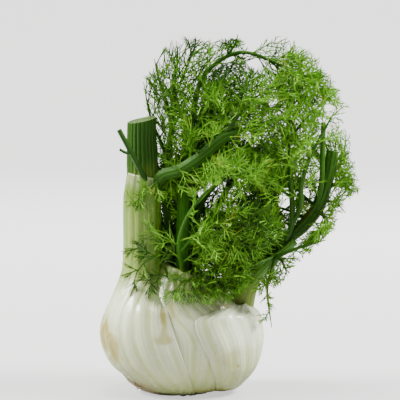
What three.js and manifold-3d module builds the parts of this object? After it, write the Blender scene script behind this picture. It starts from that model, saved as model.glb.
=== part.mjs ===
// A bulb of Florence fennel with its cut stalks and feathery fronds, standing on its trimmed root plate.
// Millimetres, +Z up, +X to the viewer's right and +Y away from the viewer.
// The origin is the middle of the root plate's flat underside.
import * as THREE from 'three';
import Module from 'manifold-3d';

// Driving dimensions of the bulb
const DEPTH_OVER_WIDTH = 0.72; // the bulb is flattened from front to back
const GAP = 1.1; // air between two sheaths
const RIM_GAP = 0.7; // and the least of it where one leans on the other
const SOCKET_GAP = 0.4; // air round a stalk where it leaves a sheath
const ROOT_GAP = 0.9; // air round the root plate
const RIB_DEPTH = 0.8; // depth of the furrows between the bulb's ribs
const STEM_RIB_DEPTH = 0.35; // and on the stem above it
const STEM_GUTTER = 1; // how far the inner side of the left stem is flattened
const STEM_BACK = 2.2; // angle from the stem's left end to where its ribs stop
const STEM_STARTS = [56, 84]; // heights between which the left sheath narrows to a stem
const BULB_HEIGHTS = [1.4, 4, 9, 16, 26, 38, 49]; // of the rings of every sheath
const LEFT_RIBS = 12;
const MIDDLE_RIBS = 15;
const MIDDLE_TWIST = 0.85; // turn in radians of the middle sheath's ribs, over the upper part of the bulb
const TWIST_HEIGHTS = [36, 80];
const RIGHT_RIBS = 9;
const INNER_COLUMNS = 12; // facets across the inner side of an outer sheath

// Driving dimensions of the fronds
const THREAD_RADIUS = 0.45;
const THREAD_LEAN = 0.8; // angle in radians between a thread and its stem
const PINNA_RADIUS = 0.7;
const KNOT_LENGTH = 0.95; // stretch of a pinna that carries one whorl of threads
const KNOT_TWIST = 0.7; // turn in radians from whorl to whorl
const CLEARANCE = 0.45; // least air between two fronds
const OWN_CLEARANCE = 0.1; // least air between two threads of one frond
const ATTEMPTS = 8;
const GOLDEN_ANGLE = Math.PI * (3 - Math.sqrt(5));

// Colours
const WHITE_SHEATH = { color: 0xe3e8cf, roughness: 0.42, metalness: 0 };
const PALE_SHEATH = { color: 0xc2d290, roughness: 0.45, metalness: 0 };
const ROOT_TAN = { color: 0xb59a6a, roughness: 0.85, metalness: 0 };
const STALK_GREEN = { color: 0x4f7d24, roughness: 0.5, metalness: 0 };
const FROND_GREEN = { color: 0x4c8a1e, roughness: 0.6, metalness: 0 };
const FROND_DARK = { color: 0x2f6418, roughness: 0.6, metalness: 0 };
const FROND_BRIGHT = { color: 0x76a82c, roughness: 0.6, metalness: 0 };

const wasm = await Module();
wasm.setup();

// Solids

function solidOf(geometry) {
  return new wasm.Manifold(
    new wasm.Mesh({
      numProp: 3,
      vertProperties: new Float32Array(geometry.attributes.position.array),
      triVerts: new Uint32Array(geometry.index.array),
    }),
  );
}

// A closed solid from shared corners and the faces between them, turned to face outwards.
function closedSolid(positions, index) {
  const geometry = new THREE.BufferGeometry();
  geometry.setAttribute('position', new THREE.Float32BufferAttribute(positions, 3));
  geometry.setIndex(index);
  const solid = solidOf(geometry);
  if (solid.volume() > 0) return solid;
  geometry.setIndex(index.toReversed());
  return solidOf(geometry);
}

function geometryOf(solid) {
  const mesh = solid.getMesh();
  const geometry = new THREE.BufferGeometry();
  geometry.setAttribute('position', new THREE.BufferAttribute(mesh.vertProperties, 3));
  geometry.setIndex(new THREE.BufferAttribute(mesh.triVerts, 1));
  const faceted = geometry.toNonIndexed();
  faceted.computeVertexNormals();
  return faceted;
}

function largestPiece(solid) {
  return solid.decompose().reduce((a, b) => (b.volume() > a.volume() ? b : a));
}

// Values of a table of rows [key, ...values] at a key, on a smooth curve through the rows.
function along(table, key) {
  const last = table.length - 1;
  let i = 0;
  while (i < last - 1 && key > table[i + 1][0]) i += 1;
  const span = table[i + 1][0] - table[i][0];
  const t = THREE.MathUtils.clamp((key - table[i][0]) / span, 0, 1);
  const slope = (j, c) => {
    const a = table[Math.max(j - 1, 0)];
    const b = table[Math.min(j + 1, last)];
    return ((b[c] - a[c]) / (b[0] - a[0])) * span;
  };
  const row = [];
  for (let c = 1; c < table[0].length; c += 1) {
    const [p, q] = [table[i][c], table[i + 1][c]];
    const [dp, dq] = [slope(i, c), slope(i + 1, c)];
    row.push(p + t * (dp + t * (3 * (q - p) - 2 * dp - dq + t * (2 * (p - q) + dp + dq))));
  }
  return row;
}

// A closed solid through rings. Each ring is a list of flat points [u, v] and the matrix that places them.
function loft(rings) {
  const positions = [];
  const index = [];
  const size = rings[0].points.length;
  for (const { points, place } of rings) {
    for (const [u, v] of points) positions.push(...new THREE.Vector3(u, v, 0).applyMatrix4(place));
  }
  for (let i = 0; i < rings.length - 1; i += 1) {
    for (let j = 0; j < size; j += 1) {
      const [a, b] = [i * size + j, i * size + ((j + 1) % size)];
      const [c, d] = [a + size, b + size];
      index.push(a, b, d, a, d, c);
    }
  }
  const cap = (ring, first, turned) => {
    const flat = ring.points.map(([u, v]) => new THREE.Vector2(u, v));
    for (const [a, b, c] of THREE.ShapeUtils.triangulateShape(flat, [])) {
      index.push(first + a, first + (turned ? c : b), first + (turned ? b : c));
    }
  };
  cap(rings[0], 0, true);
  cap(rings[rings.length - 1], (rings.length - 1) * size, false);
  return closedSolid(positions, index);
}

// A level ring, tilted by an angle in degrees that lowers its right side.
function level(points, z, x = 0, tilt = 0) {
  const place = new THREE.Matrix4().makeTranslation(x, 0, z);
  place.multiply(new THREE.Matrix4().makeRotationY(THREE.MathUtils.degToRad(tilt)));
  return { points, place };
}

// Furrows between ribs, at a share of the way across them: 0 on a rib, 1 in a furrow.
function furrow(share, ribs) {
  return 0.5 - 0.5 * Math.cos(2 * Math.PI * share * ribs);
}

// The bulb's outer form. A row is height, middle in X and half width.
const OUTER_FORM = [
  [1.0, 4.0, 25],
  [3.2, 4.8, 31.5],
  [8.5, 3.9, 38.4],
  [13.7, 2.9, 43.9],
  [19, 1.6, 48.4],
  [29, 0.3, 52.3],
  [40, -0.2, 53.8],
  [50, 0, 52],
  [60, 0.8, 48.6],
  [66, 1.0, 46.2],
  [72, 1.2, 43.6],
  [86, 1.4, 40.2],
];

// The middle sheath. A row is height, middle in X, half width, half depth and tilt.
const MIDDLE_FORM = [
  [1.4, 4.5, 16, 14, 0],
  [3.2, 5, 22, 19.8, 0],
  [8.5, 4.4, 28.6, 24.6, 0],
  [13.7, 3.8, 34, 28.2, 0],
  [19, 3, 38.4, 31.2, 0],
  [29, 2.6, 42.3, 33.9, 0],
  [40, 3, 43.8, 34.9, 0],
  [50, 3.6, 41.4, 33.6, 0],
  [58, 4.4, 35.5, 29.8, 3],
  [64, 5, 30, 25.6, 6],
  [70, 6, 25.2, 21.2, 10],
  [75, 6.6, 22.4, 18, 14],
  [79.5, 7, 20.6, 15.8, 18],
];

// Where the front and back margins of the outer sheaths lie in X, by height.
const LEFT_MARGINS = [
  [1, 9, 0],
  [16, 5, -2],
  [29, 0.6, -3],
  [42, -4, -5],
  [55, -8, -9],
  [68, -11, -12],
  [84, -12.4, -12.4],
];
const RIGHT_MARGINS = [
  [1.2, 23, 8],
  [8, 22.4, 8],
  [17, 20.5, 7],
  [29, 17, 6],
  [40, 12, 7],
  [48, 9, 10],
  [52.5, 8.8, 15],
  [55.5, 13, 21],
  [57.5, 20, 27],
  [59, 27.5, 32],
  [60.3, 35, 36.5],
];

// The stalk-like top of the left sheath. A row is height, middle in X, half width and half depth.
const LEFT_STEM = [
  [56, -27, 20, 24],
  [66, -27.5, 17.4, 19],
  [76, -26.4, 14.4, 14.6],
  [84, -25.7, 13.3, 12.4],
  [97, -25.4, 13, 11],
  [128, -25.3, 12.9, 10.6],
  [136, -24.6, 12.3, 10.2],
  [141.5, -24.2, 11.4, 9.8],
];

// The angle of a place in X on an oval, from its left end through the front.
function turnAt(x, middle, halfWidth) {
  return Math.acos(THREE.MathUtils.clamp((middle - x) / halfWidth, -1, 1));
}

function ovalPoint(turn, middle, halfWidth, halfDepth) {
  return [middle - halfWidth * Math.cos(turn), -halfDepth * Math.sin(turn)];
}

// A crescent of an outer sheath: out along the bulb's form, and back along the middle sheath.
// span gives the first and last angle on an oval, from its middle and half width.
function crescent(z, span, ribs) {
  const [middle, halfWidth] = along(OUTER_FORM, z);
  const [coreMiddle, coreWidth, coreDepth] = along(MIDDLE_FORM, z);
  const relief = RIB_DEPTH * THREE.MathUtils.smoothstep(z, 0, 12);
  const columns = 2 * ribs;
  const [from, to] = span(middle, halfWidth);
  const outer = [];
  for (let i = 0; i <= columns; i += 1) {
    const inset = relief * furrow(i / columns, ribs);
    const turn = THREE.MathUtils.lerp(from, to, i / columns);
    outer.push(ovalPoint(turn, middle, halfWidth - inset, halfWidth * DEPTH_OVER_WIDTH - inset));
  }
  const [coreFrom, coreTo] = span(coreMiddle, coreWidth + GAP);
  const inner = [];
  for (let i = 0; i <= INNER_COLUMNS; i += 1) {
    const turn = THREE.MathUtils.lerp(coreTo, coreFrom, i / INNER_COLUMNS);
    inner.push(ovalPoint(turn, coreMiddle, coreWidth + GAP, coreDepth + GAP));
  }
  return [...outer, ...inner];
}

// The same ring of points round a stem, whose inner side is flattened like a gutter.
function stemRing(z, ribs) {
  const [middle, halfWidth, halfDepth] = along(LEFT_STEM, z);
  const columns = 2 * ribs;
  const ring = [];
  for (let i = 0; i <= columns; i += 1) {
    const inset = STEM_RIB_DEPTH * furrow(i / columns, ribs);
    const turn = THREE.MathUtils.lerp(-STEM_BACK, STEM_BACK, i / columns);
    ring.push(ovalPoint(turn, middle, halfWidth - inset, halfDepth - inset));
  }
  for (let i = 0; i <= INNER_COLUMNS; i += 1) {
    const turn = THREE.MathUtils.lerp(STEM_BACK + 0.15, 2 * Math.PI - STEM_BACK - 0.15, i / INNER_COLUMNS);
    const flat = STEM_GUTTER * Math.sin((Math.PI * i) / INNER_COLUMNS);
    ring.push(ovalPoint(turn, middle - flat, halfWidth, halfDepth));
  }
  return ring;
}

// Sheaths

function middleSheath(grow = 0) {
  const columns = 2 * MIDDLE_RIBS;
  const rings = [...BULB_HEIGHTS, 58, 66, 74, 79.5].map((z) => {
    const [middle, halfWidth, halfDepth, tilt] = along(MIDDLE_FORM, z);
    const relief = RIB_DEPTH * THREE.MathUtils.smoothstep(z, 0, 12);
    const twist = MIDDLE_TWIST * THREE.MathUtils.smoothstep(z, ...TWIST_HEIGHTS);
    const points = [];
    for (let i = 0; i < columns; i += 1) {
      const inset = relief * furrow(i / columns, MIDDLE_RIBS) - grow;
      const turn = (2 * Math.PI * i) / columns - twist;
      points.push(ovalPoint(turn, 0, halfWidth - inset, halfDepth - inset));
    }
    return level(points, z, middle, tilt);
  });
  return loft(rings);
}

function leftSheath() {
  const heights = [...BULB_HEIGHTS, 58, 66, 74, 83, 97, 118, 136, 141.5];
  const rings = heights.map((z) => {
    const [front, back] = along(LEFT_MARGINS, z);
    const span = (middle, halfWidth) => [-turnAt(back, middle, halfWidth), turnAt(front, middle, halfWidth)];
    const wrapped = crescent(z, span, LEFT_RIBS);
    const stem = stemRing(z, LEFT_RIBS);
    const share = THREE.MathUtils.smoothstep(z, ...STEM_STARTS);
    const points = wrapped.map(([x, y], i) => [
      THREE.MathUtils.lerp(x, stem[i][0], share),
      THREE.MathUtils.lerp(y, stem[i][1], share),
    ]);
    return level(points, z);
  });
  return loft(rings);
}

function rightOuterSheath() {
  const rings = [...BULB_HEIGHTS, 54, 57, 59, 60.3].map((z) => {
    const [front, back] = along(RIGHT_MARGINS, z);
    const span = (middle, halfWidth) => [
      turnAt(front, middle, halfWidth),
      2 * Math.PI - turnAt(back, middle, halfWidth),
    ];
    return level(crescent(z, span, RIGHT_RIBS), z);
  });
  return loft(rings);
}

// Tubes along a smooth path. A row of the table is X, Y, Z and radius.

const frameAt = (position, tangent) => {
  const depth = new THREE.Vector3(0, 1, 0).addScaledVector(tangent, -tangent.y).normalize();
  const across = new THREE.Vector3().crossVectors(depth, tangent);
  return new THREE.Matrix4().makeBasis(across, depth, tangent).setPosition(position);
};

function pathOf(table) {
  const curve = new THREE.CatmullRomCurve3(table.map(([x, y, z]) => new THREE.Vector3(x, y, z)));
  const radiusAt = (t) => {
    const place = t * (table.length - 1);
    const i = Math.min(Math.floor(place), table.length - 2);
    return THREE.MathUtils.lerp(table[i][3], table[i + 1][3], place - i);
  };
  return { curve, radiusAt };
}

// section(angle, t) gives the distance from the path, as a share of the radius there.
function tube(table, sides, steps, grow = 0, section = () => 1) {
  const { curve, radiusAt } = pathOf(table);
  const rings = [];
  for (let i = 0; i <= steps; i += 1) {
    const t = i / steps;
    const points = [];
    for (let j = 0; j < sides; j += 1) {
      const angle = (2 * Math.PI * j) / sides;
      const reach = radiusAt(t) * section(angle, t, j) + grow;
      points.push([reach * Math.cos(angle), reach * Math.sin(angle)]);
    }
    const tangent = curve.getTangent(t);
    const end = i === 0 ? -grow : i === steps ? grow : 0;
    rings.push({ points, place: frameAt(curve.getPoint(t).addScaledVector(tangent, end), tangent) });
  }
  return loft(rings);
}

// The right sheath is a gutter that opens to the upper left, towards the viewer.
const RIGHT_SHEATH = [
  [37, 0, 42, 7.5],
  [38.5, 0, 55, 8.2],
  [40.5, 0, 67, 8.3],
  [44.5, 0, 77, 7.7],
  [52, 0, 86.5, 7],
  [62, 0, 95, 6.4],
  [71, 0, 103, 6],
];
const GUTTER_ANGLE = Math.PI * 1.2;
const GUTTER_DEPTH = 0.42;
const GUTTER_WIDTH = 0.75;

function rightSheath(grow = 0) {
  const section = (angle, t) => {
    const off = (angle - GUTTER_ANGLE) / GUTTER_WIDTH;
    return 1 - GUTTER_DEPTH * THREE.MathUtils.smoothstep(t, 0.3, 0.75) * Math.exp(-off * off);
  };
  return tube(RIGHT_SHEATH, 16, 10, grow, section);
}

// The cut stalk on the left, ribbed all round, with the cut twig that grows from its foot
const CUT_STALK = [
  [-25.4, 0, 136, 10.2],
  [-25.6, 0, 150, 10.3],
  [-26, 0, 165, 9.8],
  [-26, 0, 179, 9.6],
];
const CUT_STALK_RIBS = 13;
const CUT_STALK_RIB_DEPTH = 0.07; // as a share of its radius
const CUT_STALK_DEPTH = 0.82; // depth over width
const CUT_SLOPE = 11; // degrees by which the cut rises to the right
const TWIG = [
  [-21, -6, 137, 1.8],
  [-25, -9.6, 144, 1.9],
  [-31, -11.2, 156, 1.8],
  [-40.2, -12.4, 173.5, 1.6],
];
const TWIG_STUB = [
  [-32.5, -11.5, 158.5, 1.0],
  [-36, -13, 158.8, 1.0],
  [-39.8, -14, 161, 0.9],
];

function cutStalk(grow = 0) {
  const columns = 2 * CUT_STALK_RIBS;
  const { curve, radiusAt } = pathOf(CUT_STALK);
  const rings = [0, 0.35, 0.7, 1].map((t) => {
    const { x, z } = curve.getPoint(t);
    const points = [];
    for (let i = 0; i < columns; i += 1) {
      const reach = radiusAt(t) * (1 - CUT_STALK_RIB_DEPTH * furrow(i / columns, CUT_STALK_RIBS)) + grow;
      points.push(ovalPoint((2 * Math.PI * i) / columns, 0, reach, reach * CUT_STALK_DEPTH));
    }
    const end = t === 0 ? -grow : t === 1 ? grow : 0;
    return level(points, z + end, x, -CUT_SLOPE * t * t);
  });
  return loft(rings);
}

// The trimmed root plate, which stands on the table and shows as a scab low on the left.
// A row is height, middle in X, half width and half depth.
const ROOT_FORM = [
  [0, 0, 21, 15],
  [1.6, -2, 24.5, 17],
  [4.5, -6, 25.6, 18],
  [8.5, -9.4, 26.8, 18],
  [11.5, -12, 27, 16.5],
];

function rootPlate(grow = 0) {
  const corners = 24;
  const rings = ROOT_FORM.map(([z, middle, halfWidth, halfDepth], k) => {
    const points = [];
    for (let i = 0; i < corners; i += 1) {
      const turn = (2 * Math.PI * i) / corners;
      const rough = 1 + 0.022 * Math.sin(5 * turn + k) + 0.016 * Math.sin(9 * turn + 2 * k);
      points.push(ovalPoint(turn, 0, halfWidth * rough + grow, halfDepth * rough + grow));
    }
    const top = k === ROOT_FORM.length - 1;
    return level(points, z + (top ? grow : k === 0 ? -grow : 0), middle);
  });
  return loft(rings);
}

// Fronds

// Numbers from 0 to 1 in a fixed order
function seeded(seed) {
  let state = seed;
  return () => {
    state = (state + 0x6d2b79f5) | 0;
    let t = Math.imul(state ^ (state >>> 15), 1 | state);
    t = (t + Math.imul(t ^ (t >>> 7), 61 | t)) ^ t;
    return ((t ^ (t >>> 14)) >>> 0) / 4294967296;
  };
}

// A three-sided stem, pointed at both ends, with a whorl of three threads at each of its knots.
// A knot has a middle, a tangent, a roll and a thread tip, or none, for each of its faces.
function branched(start, knots, tip) {
  const positions = [...start];
  const index = [];
  const add = (point) => positions.push(...point) / 3 - 1;
  const quad = (a, b, c, d) => index.push(a, b, d, a, d, c);
  let before = null;
  for (const { middle, tangent, roll, radius, threadTips } of knots) {
    const [low, high] = [-0.5, 0.5].map((share) => {
      const centre = middle.clone().addScaledVector(tangent, share * KNOT_LENGTH);
      return knotCorners(centre, tangent, roll, radius).map(add);
    });
    for (let j = 0; j < 3; j += 1) {
      const k = (j + 1) % 3;
      if (before) quad(before[j], before[k], low[j], low[k]);
      else index.push(0, low[k], low[j]);
      if (threadTips[j]) {
        const top = add(threadTips[j]);
        index.push(low[j], low[k], top, low[k], high[k], top, high[k], high[j], top, high[j], low[j], top);
      } else quad(low[j], low[k], high[j], high[k]);
    }
    before = high;
  }
  const end = add(tip);
  for (let j = 0; j < 3; j += 1) index.push(before[j], before[(j + 1) % 3], end);
  return closedSolid(positions, index);
}

function knotCorners(centre, tangent, roll, radius) {
  const frame = frameAt(centre, tangent);
  return [0, 1, 2].map((j) => {
    const angle = roll + (2 * Math.PI * j) / 3;
    return new THREE.Vector3(radius * Math.cos(angle), radius * Math.sin(angle), 0).applyMatrix4(frame);
  });
}

// What is already placed: rods with a line, a radius, an owner and the stem or pinna that they are.
const placed = [];

function inOval(x, y, middle, halfWidth, halfDepth, air) {
  return ((x - middle) / (halfWidth + air)) ** 2 + (y / (halfDepth + air)) ** 2 < 1;
}

// Whether a point lies in the outline that the foliage fills
function inOutline({ x, y, z }) {
  const last = FOLIAGE_OUTLINE.length - 1;
  if (z > FOLIAGE_OUTLINE[last][0]) return false;
  const i = Math.max(FOLIAGE_OUTLINE.findIndex(([height]) => height >= z), 1);
  const [low, high] = [FOLIAGE_OUTLINE[i - 1], FOLIAGE_OUTLINE[i]];
  const share = (z - low[0]) / (high[0] - low[0]);
  const [left, right, depth] = [1, 2, 3].map((c) => THREE.MathUtils.lerp(low[c], high[c], share));
  return x > left && x < right && Math.abs(y) < depth;
}

// Whether a point is inside the sheaths, or within some air of them.
function inSheaths({ x, y, z }, air) {
  if (z < 84 + air) {
    const [middle, halfWidth, halfDepth] = along(MIDDLE_FORM, z);
    if (inOval(x, y, middle, halfWidth, halfDepth, air)) return true;
  }
  if (z > 143 + air) return false;
  const [outerMiddle, outerWidth] = along(OUTER_FORM, Math.min(z, 84));
  const [stemMiddle, stemWidth, stemDepth] = along(LEFT_STEM, Math.max(z, 56));
  const share = THREE.MathUtils.smoothstep(z, ...STEM_STARTS);
  const middle = THREE.MathUtils.lerp(outerMiddle, stemMiddle, share);
  const halfWidth = THREE.MathUtils.lerp(outerWidth, stemWidth, share);
  const halfDepth = THREE.MathUtils.lerp(outerWidth * DEPTH_OVER_WIDTH, stemDepth, share);
  return inOval(x, y, middle, halfWidth, halfDepth, air);
}

function isFree(points, radius, owner, parent) {
  for (let i = 0; i < points.length - 1; i += 1) {
    const line = new THREE.Line3(points[i], points[i + 1]);
    for (const rod of placed) {
      if (rod.part === parent) continue;
      const air = rod.owner === owner ? OWN_CLEARANCE : CLEARANCE;
      if (rod.line.distanceSqToLine3(line) < (rod.radius + radius + air) ** 2) return false;
    }
    if (!inOutline(points[i + 1])) return false;
    for (const share of [0.2, 0.6, 1]) {
      if (inSheaths(line.at(share, new THREE.Vector3()), radius + CLEARANCE)) return false;
    }
  }
  return true;
}

function settle(points, radius, owner, part) {
  for (let i = 0; i < points.length - 1; i += 1) {
    placed.push({ line: new THREE.Line3(points[i], points[i + 1]), radius, owner, part });
  }
}

// A direction that leaves a tangent at an angle, turned round it by a roll.
function leaving(tangent, angle, roll) {
  const flat = Math.sin(angle);
  const away = new THREE.Vector3(Math.cos(roll) * flat, Math.sin(roll) * flat, Math.cos(angle));
  return away.applyMatrix4(frameAt(new THREE.Vector3(), tangent)).normalize();
}

// Tries places for a needle of a length from a point, and settles it at the first that is free.
function findPlace({ from, tangent, angle, roll, length, bend, start, radius, owner, parent, part }) {
  for (let attempt = 0; attempt < ATTEMPTS; attempt += 1) {
    const shortened = length * (attempt < ATTEMPTS / 2 ? 1 : 0.62);
    const away = leaving(tangent, angle, roll + attempt * 1.1);
    const knee = from.clone().addScaledVector(away, shortened * 0.5);
    const onward = away.clone().add(bend).normalize();
    const tip = knee.clone().addScaledVector(onward, shortened * 0.5);
    const root = from.clone().addScaledVector(away, start);
    if (isFree([root, knee, tip], radius, owner, parent)) {
      settle([root, knee, tip], radius, owner, part);
      return [from, root, knee, tip];
    }
  }
  return null;
}

// The outline that the foliage fills. A row is height, left and right end in X and half depth.
const FOLIAGE_OUTLINE = [
  [28, 50, 60, 34],
  [54, -33, 60, 44],
  [66, -40, 62, 46],
  [84, -41, 71, 50],
  [98, -41, 86, 52],
  [110, -40, 97, 53],
  [124, -39, 106, 54],
  [134, -38, 117, 54],
  [146, -37, 117, 54],
  [156, -31, 113, 52],
  [176, -28, 107, 48],
  [190, -27, 106, 43],
  [206, -27, 98, 37],
  [217, -18, 90, 29],
  [227, -10, 82, 22],
  [234, 0, 60, 15],
];

// Each frond has stems in rows of X, Y, Z and radius. Pinnae leave a stem beyond a share of its
// length, the longest of them reach so far, and each has so many threads of about one length.
const FRONDS = {
  frond_upper_left: {
    colour: FROND_DARK,
    stems: [
      [
        [-7, 7, 72, 2.8], [-8.5, 9, 100, 2.6], [-10, 11, 130, 2.3], [-8, 13, 165, 1.7],
        [-5, 13, 198, 1.2], [-3, 12, 226, 0.7],
      ],
    ],
    first: 0.42, pinnae: 8, reach: 42, knots: 4, thread: 15, lift: 0.35,
  },
  frond_arch: {
    colour: FROND_GREEN,
    stems: [
      [
        [0, 2, 70, 4.6], [0.5, -1, 98, 4.7], [1, -2, 124, 4.3], [3, 2, 150, 3.2],
        [6.5, 4, 178, 2.2], [14, 5, 207, 1.5], [35, 5, 222, 1.3], [53, 4, 219, 1.1],
        [66, 3, 209, 0.8],
      ],
    ],
    first: 0.5, pinnae: 9, reach: 34, knots: 4, thread: 13, lift: 0.1,
  },
  frond_cross: {
    colour: FROND_BRIGHT,
    stems: [
      [
        [-18, -3, 134, 3.6], [-13, -8, 143, 4.2], [0, -13, 148, 4.3], [13, -15.5, 157, 4.1],
        [26, -17, 168, 3.6], [39, -16, 174, 1.5], [54, -13, 178, 1.2], [68, -10, 184, 0.9],
      ],
    ],
    first: 0.3, pinnae: 9, reach: 34, knots: 5, thread: 13, lift: 0,
  },
  frond_centre: {
    colour: FROND_GREEN,
    stems: [
      [
        [6, 6, 71, 2.3], [9, 7, 92, 2.2], [9.5, 8, 112, 2.1], [15, 6, 128, 2.0], [25, 4, 139, 1.7],
        [36, 3, 146, 1.4], [50, 3, 152, 1.1], [64, 2, 160, 0.8],
      ],
    ],
    first: 0.42, pinnae: 8, reach: 32, knots: 5, thread: 13, lift: 0,
  },
  frond_low_centre: {
    colour: FROND_GREEN,
    stems: [
      [
        [8, -7, 71, 1.9], [10, -10, 83, 1.9], [16, -15, 94, 1.8], [24, -20, 102, 1.5],
        [34, -24, 107, 1.2], [48, -26, 112, 0.8],
      ],
    ],
    first: 0.3, pinnae: 8, reach: 30, knots: 5, thread: 13, lift: 0,
  },
  frond_front: {
    colour: FROND_BRIGHT,
    stems: [
      [
        [2, -9, 73, 1.6], [0, -15, 86, 1.6], [-2, -22, 100, 1.4], [2, -29, 116, 1.2],
        [12, -34, 132, 1.0], [24, -36, 144, 0.7],
      ],
    ],
    first: 0.25, pinnae: 8, reach: 28, knots: 5, thread: 12, lift: 0,
  },
  frond_low_left: {
    colour: FROND_BRIGHT,
    stems: [
      [
        [-8, -9, 75, 1.3], [-11.5, -15, 85, 1.2], [-16, -19, 92, 1.0], [-23, -20, 96, 0.8],
        [-29, -19, 99, 0.6],
      ],
      [
        [-16, -19, 92, 0.9], [-22, -20, 90, 0.8], [-28, -21, 84, 0.7], [-31.5, -22, 74, 0.5],
      ],
    ],
    first: 0.35, pinnae: 4, reach: 15, knots: 3, thread: 9, lift: -0.3,
  },
  frond_shoulder: {
    colour: FROND_BRIGHT,
    stems: [
      [
        [3, -12, 74, 1.2], [6, -21, 78, 1.1], [9, -28, 75, 0.9], [13, -34, 69, 0.6],
      ],
      [
        [6, -21, 78, 0.9], [0, -28, 77, 0.8], [-4, -32, 72, 0.6],
      ],
    ],
    first: 0.3, pinnae: 4, reach: 14, knots: 3, thread: 9, lift: -0.35,
  },
  stalk_right: {
    colour: STALK_GREEN,
    stems: [
      [
        [67, 0, 99.5, 3.2], [78, -1, 109, 4.4], [88, -1, 122, 4.6], [94, -1, 140, 4.4],
        [97.5, -1, 159, 4.1],
      ],
      [
        [88, -4, 125, 1.8], [90, -8, 138, 1.8], [90.5, -9, 158, 1.7], [91, -9, 178, 1.6],
      ],
      [
        [94, -2, 134, 1.3], [102, -4, 139, 1.1], [110, -6, 139, 0.7],
      ],
    ],
    first: 0.4, pinnae: 4, reach: 20, knots: 3, thread: 12, lift: 0,
  },
  frond_right: {
    colour: FROND_GREEN,
    stems: [
      [
        [67, -5, 101, 1.6], [71, -8, 112, 2.0], [70.5, -9, 135, 1.7], [69, -7, 155, 1.4],
        [69, -2, 176, 1.1], [73, 2, 196, 0.9], [82, 3, 210, 0.7],
      ],
      [
        [71, -8, 112, 1.4], [76, -10, 122, 1.8], [77, -13, 138, 1.6], [82, -17, 156, 1.2],
        [90, -20, 172, 1.0], [98, -19, 187, 0.7],
      ],
    ],
    first: 0.45, pinnae: 6, reach: 30, knots: 4, thread: 13, lift: 0.1,
  },
  frond_right_low: {
    colour: FROND_BRIGHT,
    stems: [
      [
        [57, -3, 88, 1.5], [62, -14, 92, 1.4], [72, -19, 97, 1.2], [84, -20, 101, 0.9],
        [93, -18, 103, 0.6],
      ],
      [
        [62, -14, 92, 1.2], [58, -19, 84, 1.0], [55, -20, 72, 0.9], [56, -20, 60, 0.7],
        [58, -20, 46, 0.5],
      ],
    ],
    first: 0.25, pinnae: 5, reach: 20, knots: 3, thread: 11, lift: -0.2,
  },
  frond_back_left: {
    colour: FROND_DARK,
    stems: [
      [
        [-3, 11, 72, 2.6], [-8, 20, 98, 2.4], [-12, 28, 126, 2.0], [-10, 34, 156, 1.5],
        [-4, 36, 184, 1.1], [4, 34, 204, 0.7],
      ],
    ],
    first: 0.3, pinnae: 9, reach: 34, knots: 4, thread: 14, lift: 0.1,
  },
  frond_back: {
    colour: FROND_GREEN,
    stems: [
      [
        [4, 12, 72, 2.8], [12, 22, 96, 2.5], [24, 29, 120, 2.1], [38, 32, 146, 1.6],
        [50, 31, 172, 1.1], [58, 27, 194, 0.7],
      ],
    ],
    first: 0.3, pinnae: 9, reach: 34, knots: 4, thread: 14, lift: 0,
  },
  frond_back_low: {
    colour: FROND_DARK,
    stems: [
      [
        [14, 9, 70, 2.0], [25, 18, 84, 1.8], [40, 26, 97, 1.5], [57, 29, 109, 1.2],
        [74, 28, 122, 0.8],
      ],
    ],
    first: 0.25, pinnae: 7, reach: 28, knots: 4, thread: 13, lift: -0.1,
  },
};

const stemPart = (name, index) => `${name} stem ${index}`;

function settleStem(name, table, index) {
  const { curve, radiusAt } = pathOf(table);
  const pieces = 12;
  for (let i = 0; i < pieces; i += 1) {
    const ends = [curve.getPoint(i / pieces), curve.getPoint((i + 1) / pieces)];
    settle(ends, radiusAt((i + 0.5) / pieces), name, stemPart(name, index));
  }
}

function stemSolid(table, grow = 0) {
  const thick = table[0][3] > 2.5;
  return tube(table, thick ? 7 : 5, thick ? 11 : 8, grow);
}

// The tip of a thread that leaves one face of a knot, or none if nothing there is free.
function threadTip(knot, face, length, random, owner, part) {
  const roll = knot.roll + ((face + 0.5) * 2 * Math.PI) / 3 + 0.5 * (random() - 0.5);
  const away = leaving(knot.tangent, THREAD_LEAN + 0.25 * (random() - 0.5), roll);
  const from = knot.middle.clone().addScaledVector(away, 1.1);
  for (const share of [1, 0.6]) {
    const tip = knot.middle.clone().addScaledVector(away, length * share);
    if (isFree([from, tip], THREAD_RADIUS, owner, part)) {
      settle([from, tip], THREAD_RADIUS, owner, `${part} thread`);
      return tip;
    }
  }
  return null;
}

// One pinna: its own stem with whorls of threads
function growPinna(name, frond, stem, t, turn, random) {
  const { curve, radiusAt, index } = stem;
  const part = `${name} pinna ${index} ${turn}`;
  const own = findPlace({
    from: curve.getPoint(t),
    tangent: curve.getTangent(t),
    angle: THREE.MathUtils.lerp(1.15, 0.6, t),
    roll: turn * GOLDEN_ANGLE,
    length: frond.reach * (1 - 0.4 * t),
    bend: new THREE.Vector3(0, 0, frond.lift),
    start: radiusAt(t) + 1.2,
    radius: PINNA_RADIUS,
    owner: name,
    parent: stemPart(name, index),
    part,
  });
  if (!own) return null;
  const [from, , knee, tip] = own;
  const line = new THREE.CatmullRomCurve3([from, knee, tip]);
  const knots = [];
  for (let j = 0; j < frond.knots; j += 1) {
    const share = THREE.MathUtils.lerp(0.24, 0.84, j / (frond.knots - 1));
    const knot = {
      middle: line.getPointAt(share),
      tangent: line.getTangentAt(share),
      roll: turn + j * KNOT_TWIST,
      radius: PINNA_RADIUS * (1.1 - 0.35 * share),
    };
    const length = frond.thread * (1.15 - 0.4 * share) * (0.85 + 0.3 * random());
    knot.threadTips = [0, 1, 2].map((face) => threadTip(knot, face, length, random, name, part));
    knots.push(knot);
  }
  return branched(from, knots, tip);
}

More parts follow.
